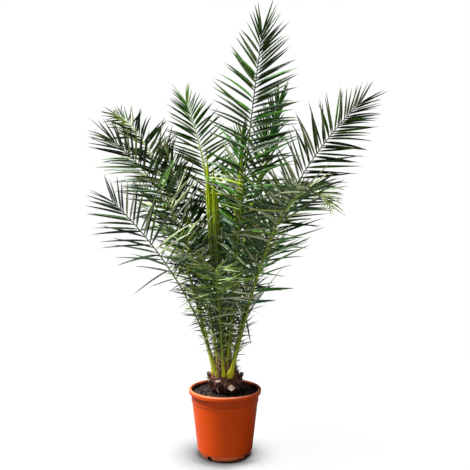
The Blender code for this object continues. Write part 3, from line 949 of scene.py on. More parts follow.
def folded_leaf():
    """Pleats of a young folded frond: lime with darker green lines, and painted shade low down."""
    finish = Finish("folded leaf", (0.30, 0.40, 0.010), 0.5, 0.15)
    lines = finish.cloud(finish.place((1.0, 1.0, 0.035)), 260.0, 3.0)
    lime = finish.ramp(
        lines, (0.32, (0.060, 0.110, 0.006)), (0.48, (0.300, 0.420, 0.009)), (0.64, (0.540, 0.620, 0.020)),
    )
    # Painted shade: the shafts darker below 0.92 m and fully so below 0.76 m, where the crown shades them.
    low = finish.remap(finish.height(), 0.76, 0.92, 0.92, 0.0)
    finish.colour(finish.blend(low, lime, (0.022, 0.042, 0.008)))
    finish.bump(lines, 0.0008)
    return finish.material


def leaf_blade(name, colour):
    """Waxy leaflet of one plain green with parallel veins and uneven gloss."""
    finish = Finish("leaf " + name, colour, 0.36, 0.40)
    finish.gloss(finish.cloud(finish.place(), 55.0), 0.25, 0.40)
    spread = finish.add("ShaderNodeSeparateXYZ", finish.add("ShaderNodeTexCoord").outputs["UV"]).outputs["X"]
    veins = finish.math("SINE", finish.times(spread, 2.0 * math.pi * VEINS))
    finish.bump(veins, 0.00012, 0.5)
    return finish.material


def stiff(name, colour):
    """Hard smooth spine of one plain colour."""
    finish = Finish(name, colour, 0.45)
    where = finish.place()
    finish.gloss(finish.cloud(where, 80.0), 0.38, 0.55)
    finish.bump(finish.cloud(where, 300.0), 0.0003, 0.5)
    return finish.material


class Frond:
    """One frond by the source's rule: where its petiole starts, how it leans, bends and rolls."""

    def __init__(self, row):
        for field, value in zip(FIELDS, row):
            setattr(self, field, value)
        ring = mix(OUTER_RING, INNER_RING, self.rank)
        turn = math.radians(self.azimuth)
        height = OUTER_BASE + BASE_RISE * self.rank
        self.base = Vector((ring * math.cos(turn), ring * math.sin(turn), height))
        self.points = [self.base.copy()]
        step = self.length / PATH_STEPS
        for index in range(PATH_STEPS):
            along, _, _ = self.axes((index + 0.5) / PATH_STEPS)
            self.points.append(self.points[-1] + along * step)

    def axes(self, share):
        """Along the rib, out of the blade's upper face, and across the blade."""
        lean = math.radians(self.lean + (self.tip_lean - self.lean) * share ** self.bend)
        turn = math.radians(self.azimuth + self.sweep * share)
        along = Vector((math.sin(lean) * math.cos(turn), math.sin(lean) * math.sin(turn), math.cos(lean)))
        face = Vector((-math.cos(lean) * math.cos(turn), -math.cos(lean) * math.sin(turn), math.sin(lean)))
        roll = math.radians(self.roll) * eased(2.0 * share)
        face = Matrix.Rotation(roll, 3, along) @ face
        return along, face, along.cross(face)

    def point(self, share):
        place = min(max(share, 0.0), 1.0) * PATH_STEPS
        index = min(int(place), PATH_STEPS - 1)
        return self.points[index].lerp(self.points[index + 1], place - index)

    def section(self, share):
        """Width and thickness of the petiole and rib: less on a short frond and on an inner one."""
        scale = (SHORT_SCALE + SCALE_PER_METRE * self.length) * (1.0 - INNER_SLIM * self.rank)
        if share < RIB_START:
            part = share / RIB_START
            wide = mix(PETIOLE_WIDTH, RIB_WIDTH, part ** PETIOLE_POWER)
            return scale * wide, scale * mix(PETIOLE_THICK, RIB_THICK, part)
        part = (share - RIB_START) / (1.0 - RIB_START)
        return scale * mix(RIB_WIDTH, TIP_WIDTH, part), scale * mix(RIB_THICK, TIP_THICK, part)

    def nodes(self):
        """Names of the solids that this frond stands for."""
        stem = "frond_" + self.name
        return [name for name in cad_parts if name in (stem, stem + "_lower", stem + "_upper")]

    def ring(self, share, shift=0.0, wide=1.0, deep=1.0):
        """Rounded section: a shallow channel on the upper face and a narrower keel below."""
        along, face, across = self.axes(share)
        width, thick = self.section(share)
        centre = self.point(share) + along * shift
        points = []
        for angle in turns(RIB_SIDES):
            out = math.copysign(abs(math.cos(angle)) ** RIB_ROUND, math.cos(angle))
            rise = math.copysign(abs(math.sin(angle)) ** RIB_ROUND, math.sin(angle))
            reach = out * mix(KEEL_SHARE, 1.0, 0.5 + 0.5 * rise)
            if rise > 0.0:
                rise -= 2.0 * CHANNEL * (1.0 - out * out)
            points.append(centre + across * (0.5 * width * wide * reach) + face * (0.5 * thick * deep * rise))
        return points

    def guide(self):
        """The rib's line as a mesh that carries its upper face and half its width."""
        mesh = bpy.data.meshes.new("guide")
        mesh.from_pydata(self.points, [(i, i + 1) for i in range(PATH_STEPS)], [])
        mesh.attributes.new("face", "FLOAT_VECTOR", "POINT")
        mesh.attributes.new("half_width", "FLOAT", "POINT")
        for index in range(PATH_STEPS + 1):
            share = index / PATH_STEPS
            mesh.attributes["face"].data[index].vector = self.axes(share)[1]
            mesh.attributes["half_width"].data[index].value = 0.5 * self.section(share)[0] * RIB_SLIM
        return new_object("guide", mesh)


def pot_profile():
    """The moulding's section, down the outside from the rim and up the inside."""
    under_lip = RIM_HEIGHT - WALL - LIP_ROUND
    foot = BODY_FOOT_RADIUS - FOOT_INSET
    points = [(RIM_RADIUS - LIP_ROUND - WALL, RIM_HEIGHT)]
    points += arc((RIM_RADIUS - LIP_ROUND, RIM_HEIGHT - LIP_ROUND), LIP_ROUND, 90.0, 0.0, 7)
    points += arc((RIM_RADIUS - LIP_DRAFT - FILLET, LIP_FOOT + FILLET), FILLET, 0.0, -90.0)
    corner = (RIM_RADIUS - LIP_DRAFT - LIP_WALL + LIP_CORNER, LIP_FOOT + LIP_CORNER)
    points += arc(corner, LIP_CORNER, 270.0, 180.0, 3)
    points += arc((RIM_RADIUS - WALL - LIP_ROUND - FILLET, under_lip - FILLET), FILLET, 0.0, 90.0)
    points += arc((COLLAR_RADIUS + FILLET, under_lip - FILLET), FILLET, 90.0, 180.0)
    points += arc((COLLAR_RADIUS - COLLAR_DRAFT - FILLET, COLLAR_FOOT + FILLET), FILLET, 0.0, -45.0)
    points += arc((BODY_TOP_RADIUS + FILLET, COLLAR_FOOT - COLLAR_STEP - 0.3 * FILLET), FILLET, 135.0, 180.0)
    points += arc((BODY_FOOT_RADIUS - FILLET, FOOT_HEIGHT + FILLET), FILLET, 0.0, -60.0)
    points += arc((foot + FILLET, FOOT_HEIGHT - FOOT_SHOULDER - FILLET), FILLET, 120.0, 180.0)
    points += arc((FOOT_RADIUS - FOOT_ROUND, FOOT_ROUND), FOOT_ROUND, 0.0, -90.0)
    points += [(0.0, 0.0), (0.0, FLOOR)]
    points += arc((FOOT_RADIUS - WALL - FOOT_ROUND, FLOOR + FOOT_ROUND), FOOT_ROUND, -90.0, 0.0)
    points += [
        (foot - WALL, FOOT_HEIGHT), (BODY_TOP_RADIUS - WALL, COLLAR_FOOT),
        (COLLAR_RADIUS - WALL, COLLAR_FOOT + COLLAR_STEP),
    ]
    points += arc((COLLAR_RADIUS - WALL + RIM_ROUND, RIM_HEIGHT - RIM_DROP), RIM_ROUND, 180.0, 110.0, 4)
    inner = (RIM_RADIUS - LIP_ROUND - WALL - RIM_ROUND, RIM_HEIGHT - RIM_ROUND)
    points += arc(inner, RIM_ROUND, 0.0, 90.0, 4)
    points[-1] = points[0]
    return points


def ring_tree():
    """Copies of a cutter at equal angles round the pot's axis."""
    tree = GeometryTree(
        "Ring of notches", Int=("Count",), Float=("Start",), Object=("Cutter",), Material=("Material",),
    )
    points = tree.add("GeometryNodePoints", tree.read("Count")).outputs[0]
    step = tree.math("DIVIDE", 2.0 * math.pi, tree.read("Count"))
    index = tree.add("GeometryNodeInputIndex").outputs[0]
    angle = tree.plus(tree.read("Start"), tree.times(step, index))
    copies = tree.add("GeometryNodeInstanceOnPoints", points, inputs={
        "Instance": tree.geometry_of("Cutter"), "Rotation": tree.turn(0.0, 0.0, angle),
    })
    real = tree.add("GeometryNodeRealizeInstances", copies.outputs[0]).outputs[0]
    tree.finish(real, tree.read("Material"))
    return tree


def build_pot(settings):
    plastic = pot_plastic(tuple(settings.plastic))
    pot = turned("pot_shell", pot_profile(), POT_STEPS)
    shape = bmesh.new()
    bmesh.ops.create_cube(shape, size=1.0)
    size = Matrix.Diagonal((NOTCH_DEPTH, NOTCH_WIDTH, 2.0 * NOTCH_HEIGHT, 1.0))
    place = Matrix.Translation((FOOT_RADIUS, 0.0, 0.0))
    bmesh.ops.transform(shape, matrix=place @ size, verts=shape.verts)
    bmesh.ops.bevel(shape, geom=shape.edges, offset=NOTCH_ROUND, segments=3, affect="EDGES", profile=0.5)
    notch = made("notch", shape, outward=False)
    ring = new_object("notches", bpy.data.meshes.new("notches"))
    grow(ring, ring_tree(), {
        "Count": settings.notches, "Start": math.radians(NOTCH_ANGLE), "Cutter": notch, "Material": plastic,
    })
    cut = pot.modifiers.new("Notches", "BOOLEAN")
    cut.operation = "DIFFERENCE"
    cut.object = ring
    cut.solver = "EXACT"
    bake(pot)
    remove(notch)
    remove(ring)
    pot.data.materials.clear()
    pot.data.materials.append(plastic)
    pot.data.materials.append(darkened_inner_plastic(tuple(settings.plastic)))
    for face in pot.data.polygons:
        centre = face.center
        radius = math.hypot(centre.x, centre.y)
        inward = centre.x * face.normal.x + centre.y * face.normal.y < 0.3 * radius
        low = FLOOR < centre.z < RIM_HEIGHT - DARK_WALL_DROP
        face.material_index = int(inward and low and radius < COLLAR_RADIUS - 0.5 * WALL)
    smooth(pot, 32.0)
    return settle(pot, ["pot"])


def soil_height(radius):
    """Height of the bed: level round the stem, lower in a ring, up a little at the wall."""
    low = eased((radius - SOIL_FLAT) / (SOIL_LOW - SOIL_FLAT))
    wall = eased((radius - SOIL_LOW) / (COLLAR_RADIUS - SOIL_LOW))
    return SOIL_TOP - SOIL_DIP * low * (1.0 - SOIL_RISE * wall)


def build_soil():
    inset = WALL + 2.0 * GAP
    edge = COLLAR_RADIUS - inset
    rows = round(edge / SOIL_ROW)
    profile = [(edge * i / rows, soil_height(edge * i / rows)) for i in range(rows + 1)]
    profile += [
        (edge, COLLAR_FOOT + COLLAR_STEP + 2.0 * GAP), (BODY_TOP_RADIUS - inset, COLLAR_FOOT + GAP),
        (BODY_FOOT_RADIUS - FOOT_INSET - inset, FOOT_HEIGHT + GAP), (FOOT_RADIUS - inset, FLOOR + GAP),
        (0.0, FLOOR + GAP),
    ]
    soil = turned("soil_bed", profile, SOIL_STEPS)
    for vertex in soil.data.vertices:
        place = vertex.co
        if place.z > SOIL_TOP - 2.0 * SOIL_DIP:
            lumps = noise.fractal(place * 60.0, 0.8, 2.0, 3) + 0.7 * noise.noise(place * 280.0)
            place.z += SOIL_BUMP * min(lumps, 0.9) - 0.2 * SOIL_BUMP
    soil.data.materials.append(compost())
    smooth(soil, 70.0)
    return settle(soil, ["soil"])


def crumb_template(name, seed, squash):
    """An angular crumb about one unit wide."""
    rng = random.Random(seed)
    shape = bmesh.new()
    bmesh.ops.create_icosphere(shape, subdivisions=1, radius=0.5)
    for vertex in shape.verts:
        vertex.co *= rng.uniform(0.7, 1.15)
        vertex.co = Vector([length * share for length, share in zip(vertex.co, squash)])
    return made(name, shape, outward=False)


def scatter_tree():
    """Small pieces strewn over a surface at random turns and sizes."""
    tree = GeometryTree(
        "Strewn pieces", Float=("Density", "Size", "Size Spread", "Tilt"), Int=("Seed",),
        Object=("Piece",), Material=("Material",),
    )
    extra = {"Mesh": tree.read("Geometry"), "Density": tree.read("Density"), "Seed": tree.read("Seed")}
    strewn = tree.add("GeometryNodeDistributePointsOnFaces", inputs=extra)
    tilt = tree.read("Tilt")
    back = tree.times(tilt, -1.0)
    turn = tree.turn(
        tree.random(back, tilt, 1), tree.random(back, tilt, 2), tree.random(0.0, 2.0 * math.pi, 3),
    )
    facing = tree.add("FunctionNodeRotateRotation", strewn.outputs["Rotation"], turn, rotation_space="LOCAL")
    spread = tree.read("Size Spread")
    share = tree.random(tree.minus(1.0, spread), tree.plus(1.0, spread), 4)
    copies = tree.add("GeometryNodeInstanceOnPoints", strewn.outputs["Points"], inputs={
        "Instance": tree.geometry_of("Piece"), "Rotation": facing.outputs[0],
        "Scale": tree.times(tree.read("Size"), share),
    })
    real = tree.add("GeometryNodeRealizeInstances", copies.outputs[0]).outputs[0]
    tree.finish(real, tree.read("Material"))
    return tree


def bed_surface(name):
    """An open ring just over the soil between the stem and the pot's wall."""
    shape = bmesh.new()
    loops = []
    for row in range(BED_ROWS + 1):
        radius = mix(BED_INNER, BED_OUTER, row / BED_ROWS)
        height = soil_height(radius) - 0.5 * SOIL_BUMP
        loops.append([
            shape.verts.new((radius * math.cos(a), radius * math.sin(a), height)) for a in turns(BED_SIDES)
        ])
    for low, high in zip(loops, loops[1:]):
        for i in range(BED_SIDES):
            j = (i + 1) % BED_SIDES
            shape.faces.new((low[i], high[i], high[j], low[j]))
    return made(name, shape, outward=False)


def build_crumbs(settings):
    tree = scatter_tree()
    area = math.pi * (BED_OUTER ** 2 - BED_INNER ** 2)
    count = settings.crumbs
    size = settings.crumb_size
    bark = fibre("bark chip", (0.075, 0.036, 0.020))
    crumb = fibre("crumb", (0.009, 0.008, 0.007))
    lump = fibre("lump", (0.095, 0.066, 0.050))
    kinds = (
        ("soil_crumbs", crumb, (1.0, 0.9, 0.7), count, size, 0.6, 3.0),
        ("soil_lumps", lump, (1.1, 0.9, 0.8), count // 4, 1.2 * size, 0.5, 3.0),
        ("soil_bark", bark, (1.7, 0.7, 0.22), BARK_COUNT, BARK_SIZE, 0.5, 0.6),
        ("soil_perlite", perlite(), (1.0, 0.9, 0.8), PERLITE_COUNT, PERLITE_SIZE, 0.4, 3.0),
    )
    for order, (name, material, squash, number, width, spread, tilt) in enumerate(kinds):
        piece = crumb_template(name + "_one", CRUMB_SEED + order, squash)
        item = grow(bed_surface(name), tree, {
            "Density": number / area, "Piece": piece, "Size": width, "Size Spread": spread, "Tilt": tilt,
            "Seed": BED_SEED + order, "Material": material,
        })
        remove(piece)
        settle(item)


def stem_radius(height):
    """Radius of the bulb at a height above the soil."""
    rows = list(reversed(STEM_PROFILE))
    if height <= rows[0][0]:
        return mix(rows[0][1] - 0.004, rows[0][1], max(height, 0.0) / rows[0][0])
    for (low, low_radius), (high, high_radius) in zip(rows, rows[1:]):
        if height <= high:
            return mix(low_radius, high_radius, (height - low) / (high - low))
    return rows[-1][1]


def scar_relief(angle, height):
    """Overlapping scars of old leaves, 0 in the joints and 1 on their upper edges."""
    row = height / STEM_TALL * SCALE_ROWS
    rise = row % 1.0
    shift = 0.5 * (int(row) % 2) + 0.12 * math.sin(3.0 * angle)
    place = (angle / (2.0 * math.pi) * SCALES_ROUND + shift) % 1.0
    dome = 1.0 - abs(2.0 * place - 1.0) ** 2.2
    return dome * (rise ** 0.8) * (1.0 if rise < 0.86 else (1.0 - rise) / 0.14)


def build_stem(settings):
    """The bulb with the relief of its leaf scars."""
    foot = SOIL_TOP - STEM_SUNK
    profile = [(0.0, SOIL_TOP + STEM_TALL + 0.001)]
    for row in range(STEM_ROWS + 1):
        height = STEM_TALL * (1.0 - row / STEM_ROWS)
        profile.append((stem_radius(height), SOIL_TOP + height))
    profile += [(STEM_PROFILE[-1][1] - 0.006, foot), (0.0, foot)]
    stem = turned("stem_bulb", profile, STEM_STEPS)
    for vertex in stem.data.vertices:
        place = vertex.co
        radius = math.hypot(place.x, place.y)
        if radius < 0.004:
            continue
        angle = math.atan2(place.y, place.x) % (2.0 * math.pi)
        height = place.z - SOIL_TOP
        lumps = noise.fractal(place * 55.0, 0.9, 2.0, 3)
        strands = noise.noise(Vector((angle * 26.0, height * 40.0, 3.0)))
        out = settings.relief * (scar_relief(angle, height) - 0.6) + STEM_LUMPS * lumps
        out += STEM_STRANDS * strands
        place.x += out * place.x / radius
        place.y += out * place.y / radius
        place.z += STEM_UNEVEN * lumps
    browns = ((0.030, 0.014, 0.010), (0.120, 0.052, 0.030), (0.330, 0.200, 0.110))
    stem.data.materials.append(fibrous("stem fibre", browns, 0.35, 210.0, soiled=True))
    smooth(stem, 60.0)
    settle(stem, ["stem"])


def build_stubs():
    """The cut bases of older leaves round the bulb."""
    shape = bmesh.new()
    rng = random.Random(STUB_SEED)
    for azimuth, lean, length in STUBS:
        turn = math.radians(azimuth)
        tilt = math.radians(lean)
        outward = Vector((math.cos(turn), math.sin(turn), 0.0))
        along = outward * math.sin(tilt) + Vector((0.0, 0.0, math.cos(tilt)))
        normal = outward * math.cos(tilt) - Vector((0.0, 0.0, math.sin(tilt)))
        across = along.cross(normal)
        root = outward * (STUB_ROOT_RING - STUB_ROOT_SLOPE * lean)
        root += Vector((0.0, 0.0, SOIL_TOP + STUB_ROOT_HEIGHT))
        fresh = azimuth == FRESH_STUB
        thick = STUB_THICK * (FRESH_ROUND if fresh else 1.0)
        rings = []
        for row in range(STUB_ROWS + 1):
            share = row / STUB_ROWS
            size = mix(STUB_FOOT, FRESH_END if fresh else STUB_END, share)
            centre = root + along * (length * share * 0.97)
            ring = []
            for angle in turns(STUB_SIDES):
                narrow = mix(1.0, 0.8, max(0.0, math.sin(angle)))
                out = math.cos(angle) * 0.5 * STUB_WIDTH * size * narrow
                rise = math.sin(angle) * 0.5 * thick * size
                point = centre + across * out + normal * rise
                rough = STUB_LUMPS * noise.noise(point * 200.0) + STUB_GRAIN * noise.noise(point * 700.0)
                ring.append(point + (point - centre).normalized() * rough)
            rings.append(ring)
        last = loft(shape, rings)
        last.material_index = STUB_FACES.get(azimuth, 2)
        inset = bmesh.ops.inset_region(shape, faces=[last], thickness=CUT_RIM, depth=-CUT_DEPTH)
        for face in inset["faces"]:
            face.material_index = 0
        for vertex in last.verts:
            vertex.co += along * rng.uniform(-CUT_UNEVEN, CUT_UNEVEN)
    stubs = made("stem_stubs", shape)
    dark = ((0.018, 0.009, 0.006), (0.075, 0.034, 0.020), (0.210, 0.125, 0.070))
    stubs.data.materials.append(fibrous("stub bark", dark, 0.3, 260.0, soiled=True))
    for name, browns, stained in CUT_FACES:
        stubs.data.materials.append(cut_face(name, browns, stained))
    smooth(stubs, 50.0)
    settle(stubs)


def strand_template():
    """A curved hair of fibre, one unit long, that rises along its surface."""
    shape = bmesh.new()
    rings = []
    for row in range(STRAND_ROWS + 1):
        share = row / STRAND_ROWS
        centre = Vector((0.10 * math.sin(3.0 * share), 0.92 * share, 0.05 + 0.13 * share * share))
        size = 0.038 * (1.0 - 0.75 * share)
        rings.append([centre + Vector((size * math.cos(a), 0.0, size * math.sin(a))) for a in turns(3)])
    loft(shape, rings)
    return made("strand", shape)


def build_fibres(settings):
    """Loose brown fibre over the bulb, round the husk and between the petioles."""
    bulb = [(0.0, SOIL_TOP + STEM_TALL + 0.004)]
    for row in range(10):
        height = STEM_TALL * (1.0 - row / 12)
        bulb.append((stem_radius(height) - 0.001, SOIL_TOP + height))
    husk_top = HUSK_LOW + HUSK_HEIGHT
    wrap = [
        (HUSK_RIM - 0.008, husk_top), (HUSK_RIM, husk_top - 0.03), (HUSK_FOOT + 0.006, HUSK_LOW + 0.012),
        (HUSK_FOOT + 0.008, HUSK_LOW - 0.022),
    ]
    cuff = [(CUFF_RIM, CUFF_LOW + 0.75 * CUFF_HEIGHT), (CUFF_FOOT, CUFF_LOW)]
    strand = strand_template()
    tree = scatter_tree()
    brown = fibre("fibre brown", (0.230, 0.070, 0.048))
    tan = fibre("fibre tan", (0.460, 0.310, 0.220))
    count = settings.fibres
    kinds = (
        ("stem_fibres", bulb, count // 3, 0.46, 0.50, brown),
        ("stem_fibres_pale", bulb, count // 12, 0.36, 0.8, tan),
        ("husk_fibres", wrap, count // 2, 0.62, 0.50, brown),
        ("pale_fibres", wrap, count // 9, 0.75, 0.80, tan),
        ("cuff_fibres", cuff, count // 3, 0.75, 0.70, brown),
        ("cuff_fibres_pale", cuff, count // 13, 0.65, 0.90, tan),
    )
    for order, (name, profile, number, share, tilt, material) in enumerate(kinds):
        item = turned(name, profile, FIBRE_SIDES)
        area = sum(face.area for face in item.data.polygons)
        grow(item, tree, {
            "Density": number / area, "Piece": strand, "Size": settings.fibre_length * share,
            "Size Spread": FIBRE_SPREAD, "Tilt": tilt, "Seed": FIBRE_SEED + order, "Material": material,
        })
        item.data.shade_smooth()
        settle(item)
    remove(strand)


def round_noise(angle, spread, height):
    """Noise that meets itself after a full turn."""
    return noise.noise(Vector((spread * math.cos(angle), spread * math.sin(angle), height)))


def build_husk(name, low, tall, foot, rim, seed):
    """Torn fibrous husk round the bases of the petioles."""
    shape = bmesh.new()
    rings = []
    for row in range(HUSK_ROWS + 1):
        up = row / HUSK_ROWS
        ring = []
        for angle in turns(HUSK_SIDES):
            torn = HUSK_MEAN + HUSK_TONGUES * round_noise(angle, 2.2, seed)
            torn += HUSK_TEETH * round_noise(angle, 9.0, seed - 3.0)
            radius = mix(foot, rim, up) + HUSK_WAVE * round_noise(angle, 3.0, 7.0 * up)
            radius += HUSK_CREASE * round_noise(angle, 24.0, 9.0 * up)
            height = low + up * max(tall * torn, HUSK_LEAST)
            ring.append(Vector((radius * math.cos(angle), radius * math.sin(angle), height)))
        rings.append(ring)
    for ring in reversed(rings[:]):
        rings.append([Vector((p.x * HUSK_WALL, p.y * HUSK_WALL, p.z - 0.0004)) for p in ring])
    loops = [[shape.verts.new(p) for p in ring] for ring in rings]
    for under, over in zip(loops, loops[1:] + loops[:1]):
        band(shape, under, over)
    husk = made(name, shape)
    browns = ((0.012, 0.004, 0.004), (0.120, 0.040, 0.030), (0.480, 0.290, 0.200))
    husk.data.materials.append(fibrous(name, browns, 0.22, 300.0))
    smooth(husk, 60.0)
    settle(husk)


def build_spears():
    """Young fronds still folded shut: pleated yellow-green shafts in the middle of the crown."""
    shape = bmesh.new()
    for foot, tip, width, twist in SPEARS:
        foot = Vector(foot)
        tip = Vector(tip)
        along = (tip - foot).normalized()
        side = along.cross(Vector((0.0, 1.0, 0.0))).normalized()
        face = side.cross(along)
        rings = []
        for row in range(SPEAR_ROWS + 1):
            share = row / SPEAR_ROWS
            bulk = 0.44 + 0.56 * eased((share - 0.1) / 0.5)
            bulk *= 1.0 - eased((share - 0.76) / 0.24) * 0.96
            centre = foot.lerp(tip, share) + side * (SPEAR_BOW * math.sin(math.pi * share) * twist)
            ring = []
            for angle in turns(SPEAR_SIDES):
                wave = math.cos(SPEAR_PLEATS * angle + 5.0 * twist * share)
                out = 0.5 * width * bulk * (1.0 + PLEAT_DEPTH * eased(share / 0.25) * wave)
                rise = SPEAR_FLAT * out * math.sin(angle)
                ring.append(centre + side * (out * math.cos(angle)) + face * rise)
            rings.append(ring)
        loft(shape, rings)
    spears = made("spears", shape)
    spears.data.materials.append(folded_leaf())
    smooth(spears, 50.0)
    settle(spears)


def build_ribs(fronds):
    """Every rib with its petiole and the sheath that clasps the stem, as one mesh."""
    shape = bmesh.new()
    growth = shape.verts.layers.float.new("growth")
    young = shape.verts.layers.float.new("young")
    for frond in fronds:
        stout, end = STOUT.get(frond.name, (1.0, 1.0))
        foot = BROAD_FOOT.get(frond.name, BASE_SWELL)
        rings = []
        places = []
        for row in range(SHEATH_ROWS, 0, -1):
            below = row / SHEATH_ROWS
            swell = mix(foot, 1.0, eased(below))
            rings.append(frond.ring(0.0, -SHEATH_LENGTH * below, swell, swell))
            places.append(SHEATH_GROWTH * (1.0 - below))
        for row in range(RIB_ROWS + 1):
            share = (row / RIB_ROWS) ** RING_POWER
            slim = mix(foot, 1.0, eased(share / FOOT_SHARE))
            slim *= mix(1.0, RIB_SLIM, eased(share / SLIM_SHARE))
            narrowed = eased((share - 0.75 * end) / (0.25 * end))
            slim *= 1.0 + (stout - 1.0) * eased(share / STOUT_SHARE) * (1.0 - narrowed)
            rings.append(frond.ring(share, 0.0, slim, slim if stout > 1.0 else mix(1.0, slim, 0.6)))
            places.append(SHEATH_GROWTH + (1.0 - SHEATH_GROWTH) * share)
        before = len(shape.verts)
        loft(shape, rings, places, growth)
        shape.verts.ensure_lookup_table()
        for vertex in shape.verts[before:]:
            vertex[young] = FROND_TONES[frond.name][4]
    ribs = made("ribs", shape)
    ribs.data.materials.append(rib_green())
    smooth(ribs, 60.0)
    nodes = [name for frond in fronds for name in frond.nodes()]
    return settle(ribs, nodes)


def leaflet_template():
    """A folded leaflet of unit length and width: X across, Y along, open to +Z, keel below."""
    shape = bmesh.new()
    uv = shape.loops.layers.uv.new("UVMap")
    along = shape.verts.layers.float.new("along")
    midrib = shape.faces.layers.float.new("midrib")
    rows = []
    for place, width in LEAFLET_OUTLINE:
        rise = 0.5 * LEAFLET_CREASE * width
        rib = LEAFLET_RIB * mix(1.0, width, 0.5)
        corners = (
            (-0.5 * width, place, rise), (-rib, place, -rise), (rib, place, -rise),
            (0.5 * width, place, rise), (0.0, place, -rise - LEAFLET_KEEL),
        )
        row = [shape.verts.new(corner) for corner in corners]
        for vertex in row:
            vertex[along] = place
        rows.append(row)
    tip = shape.verts.new((0.0, 1.0, 0.0))
    tip[along] = 1.0
    sides = ((0, 1), (1, 2), (2, 3), (3, 4), (4, 0))
    spread = (0.0, 0.44, 0.56, 1.0, 0.5)

    def skin(corners, columns):
        face = shape.faces.new(corners)
        face.smooth = True
        face[midrib] = 1.0 if set(columns) == {1, 2} else 0.0
        for loop, column in zip(face.loops, columns):
            loop[uv].uv = (spread[column], loop.vert[along])

    for low, high in zip(rows, rows[1:]):
        for a, b in sides:
            skin((low[a], low[b], high[b], high[a]), (a, b, b, a))
    for a, b in sides:
        skin((rows[-1][a], rows[-1][b], tip), (a, b, b))
    skin(tuple(reversed(rows[0])), (4, 3, 2, 1, 0))
    for low, high in zip(rows, rows[1:] + [[tip] * 5]):
        for a in range(5):
            shape.edges.get((low[a], high[a])).smooth = False
    return made("leaflet", shape)


def spine_template():
    """A stiff spine of unit length and width along Y."""
    shape = bmesh.new()
    along = shape.verts.layers.float.new("along")
    rings = []
    places = []
    for place, width in SPINE_OUTLINE:
        size = 0.5 * width
        rings.append([(size * math.cos(a), place, size * math.sin(a)) for a in turns(SPINE_SIDES)])
        places.append(place)
    loft(shape, rings, places, along)
    for face in shape.faces:
        face.smooth = True
    return made("spine", shape)


def float_curve(tree, value, points):
    """A number read from a curve through the given points."""
    node = tree.add("ShaderNodeFloatCurve", inputs={"Value": value})
    curve = node.mapping.curves[0].points
    curve[0].location = points[0]
    curve[1].location = points[-1]
    for point in points[1:-1]:
        curve.new(*point)
    node.mapping.update()
    return node.outputs[0]


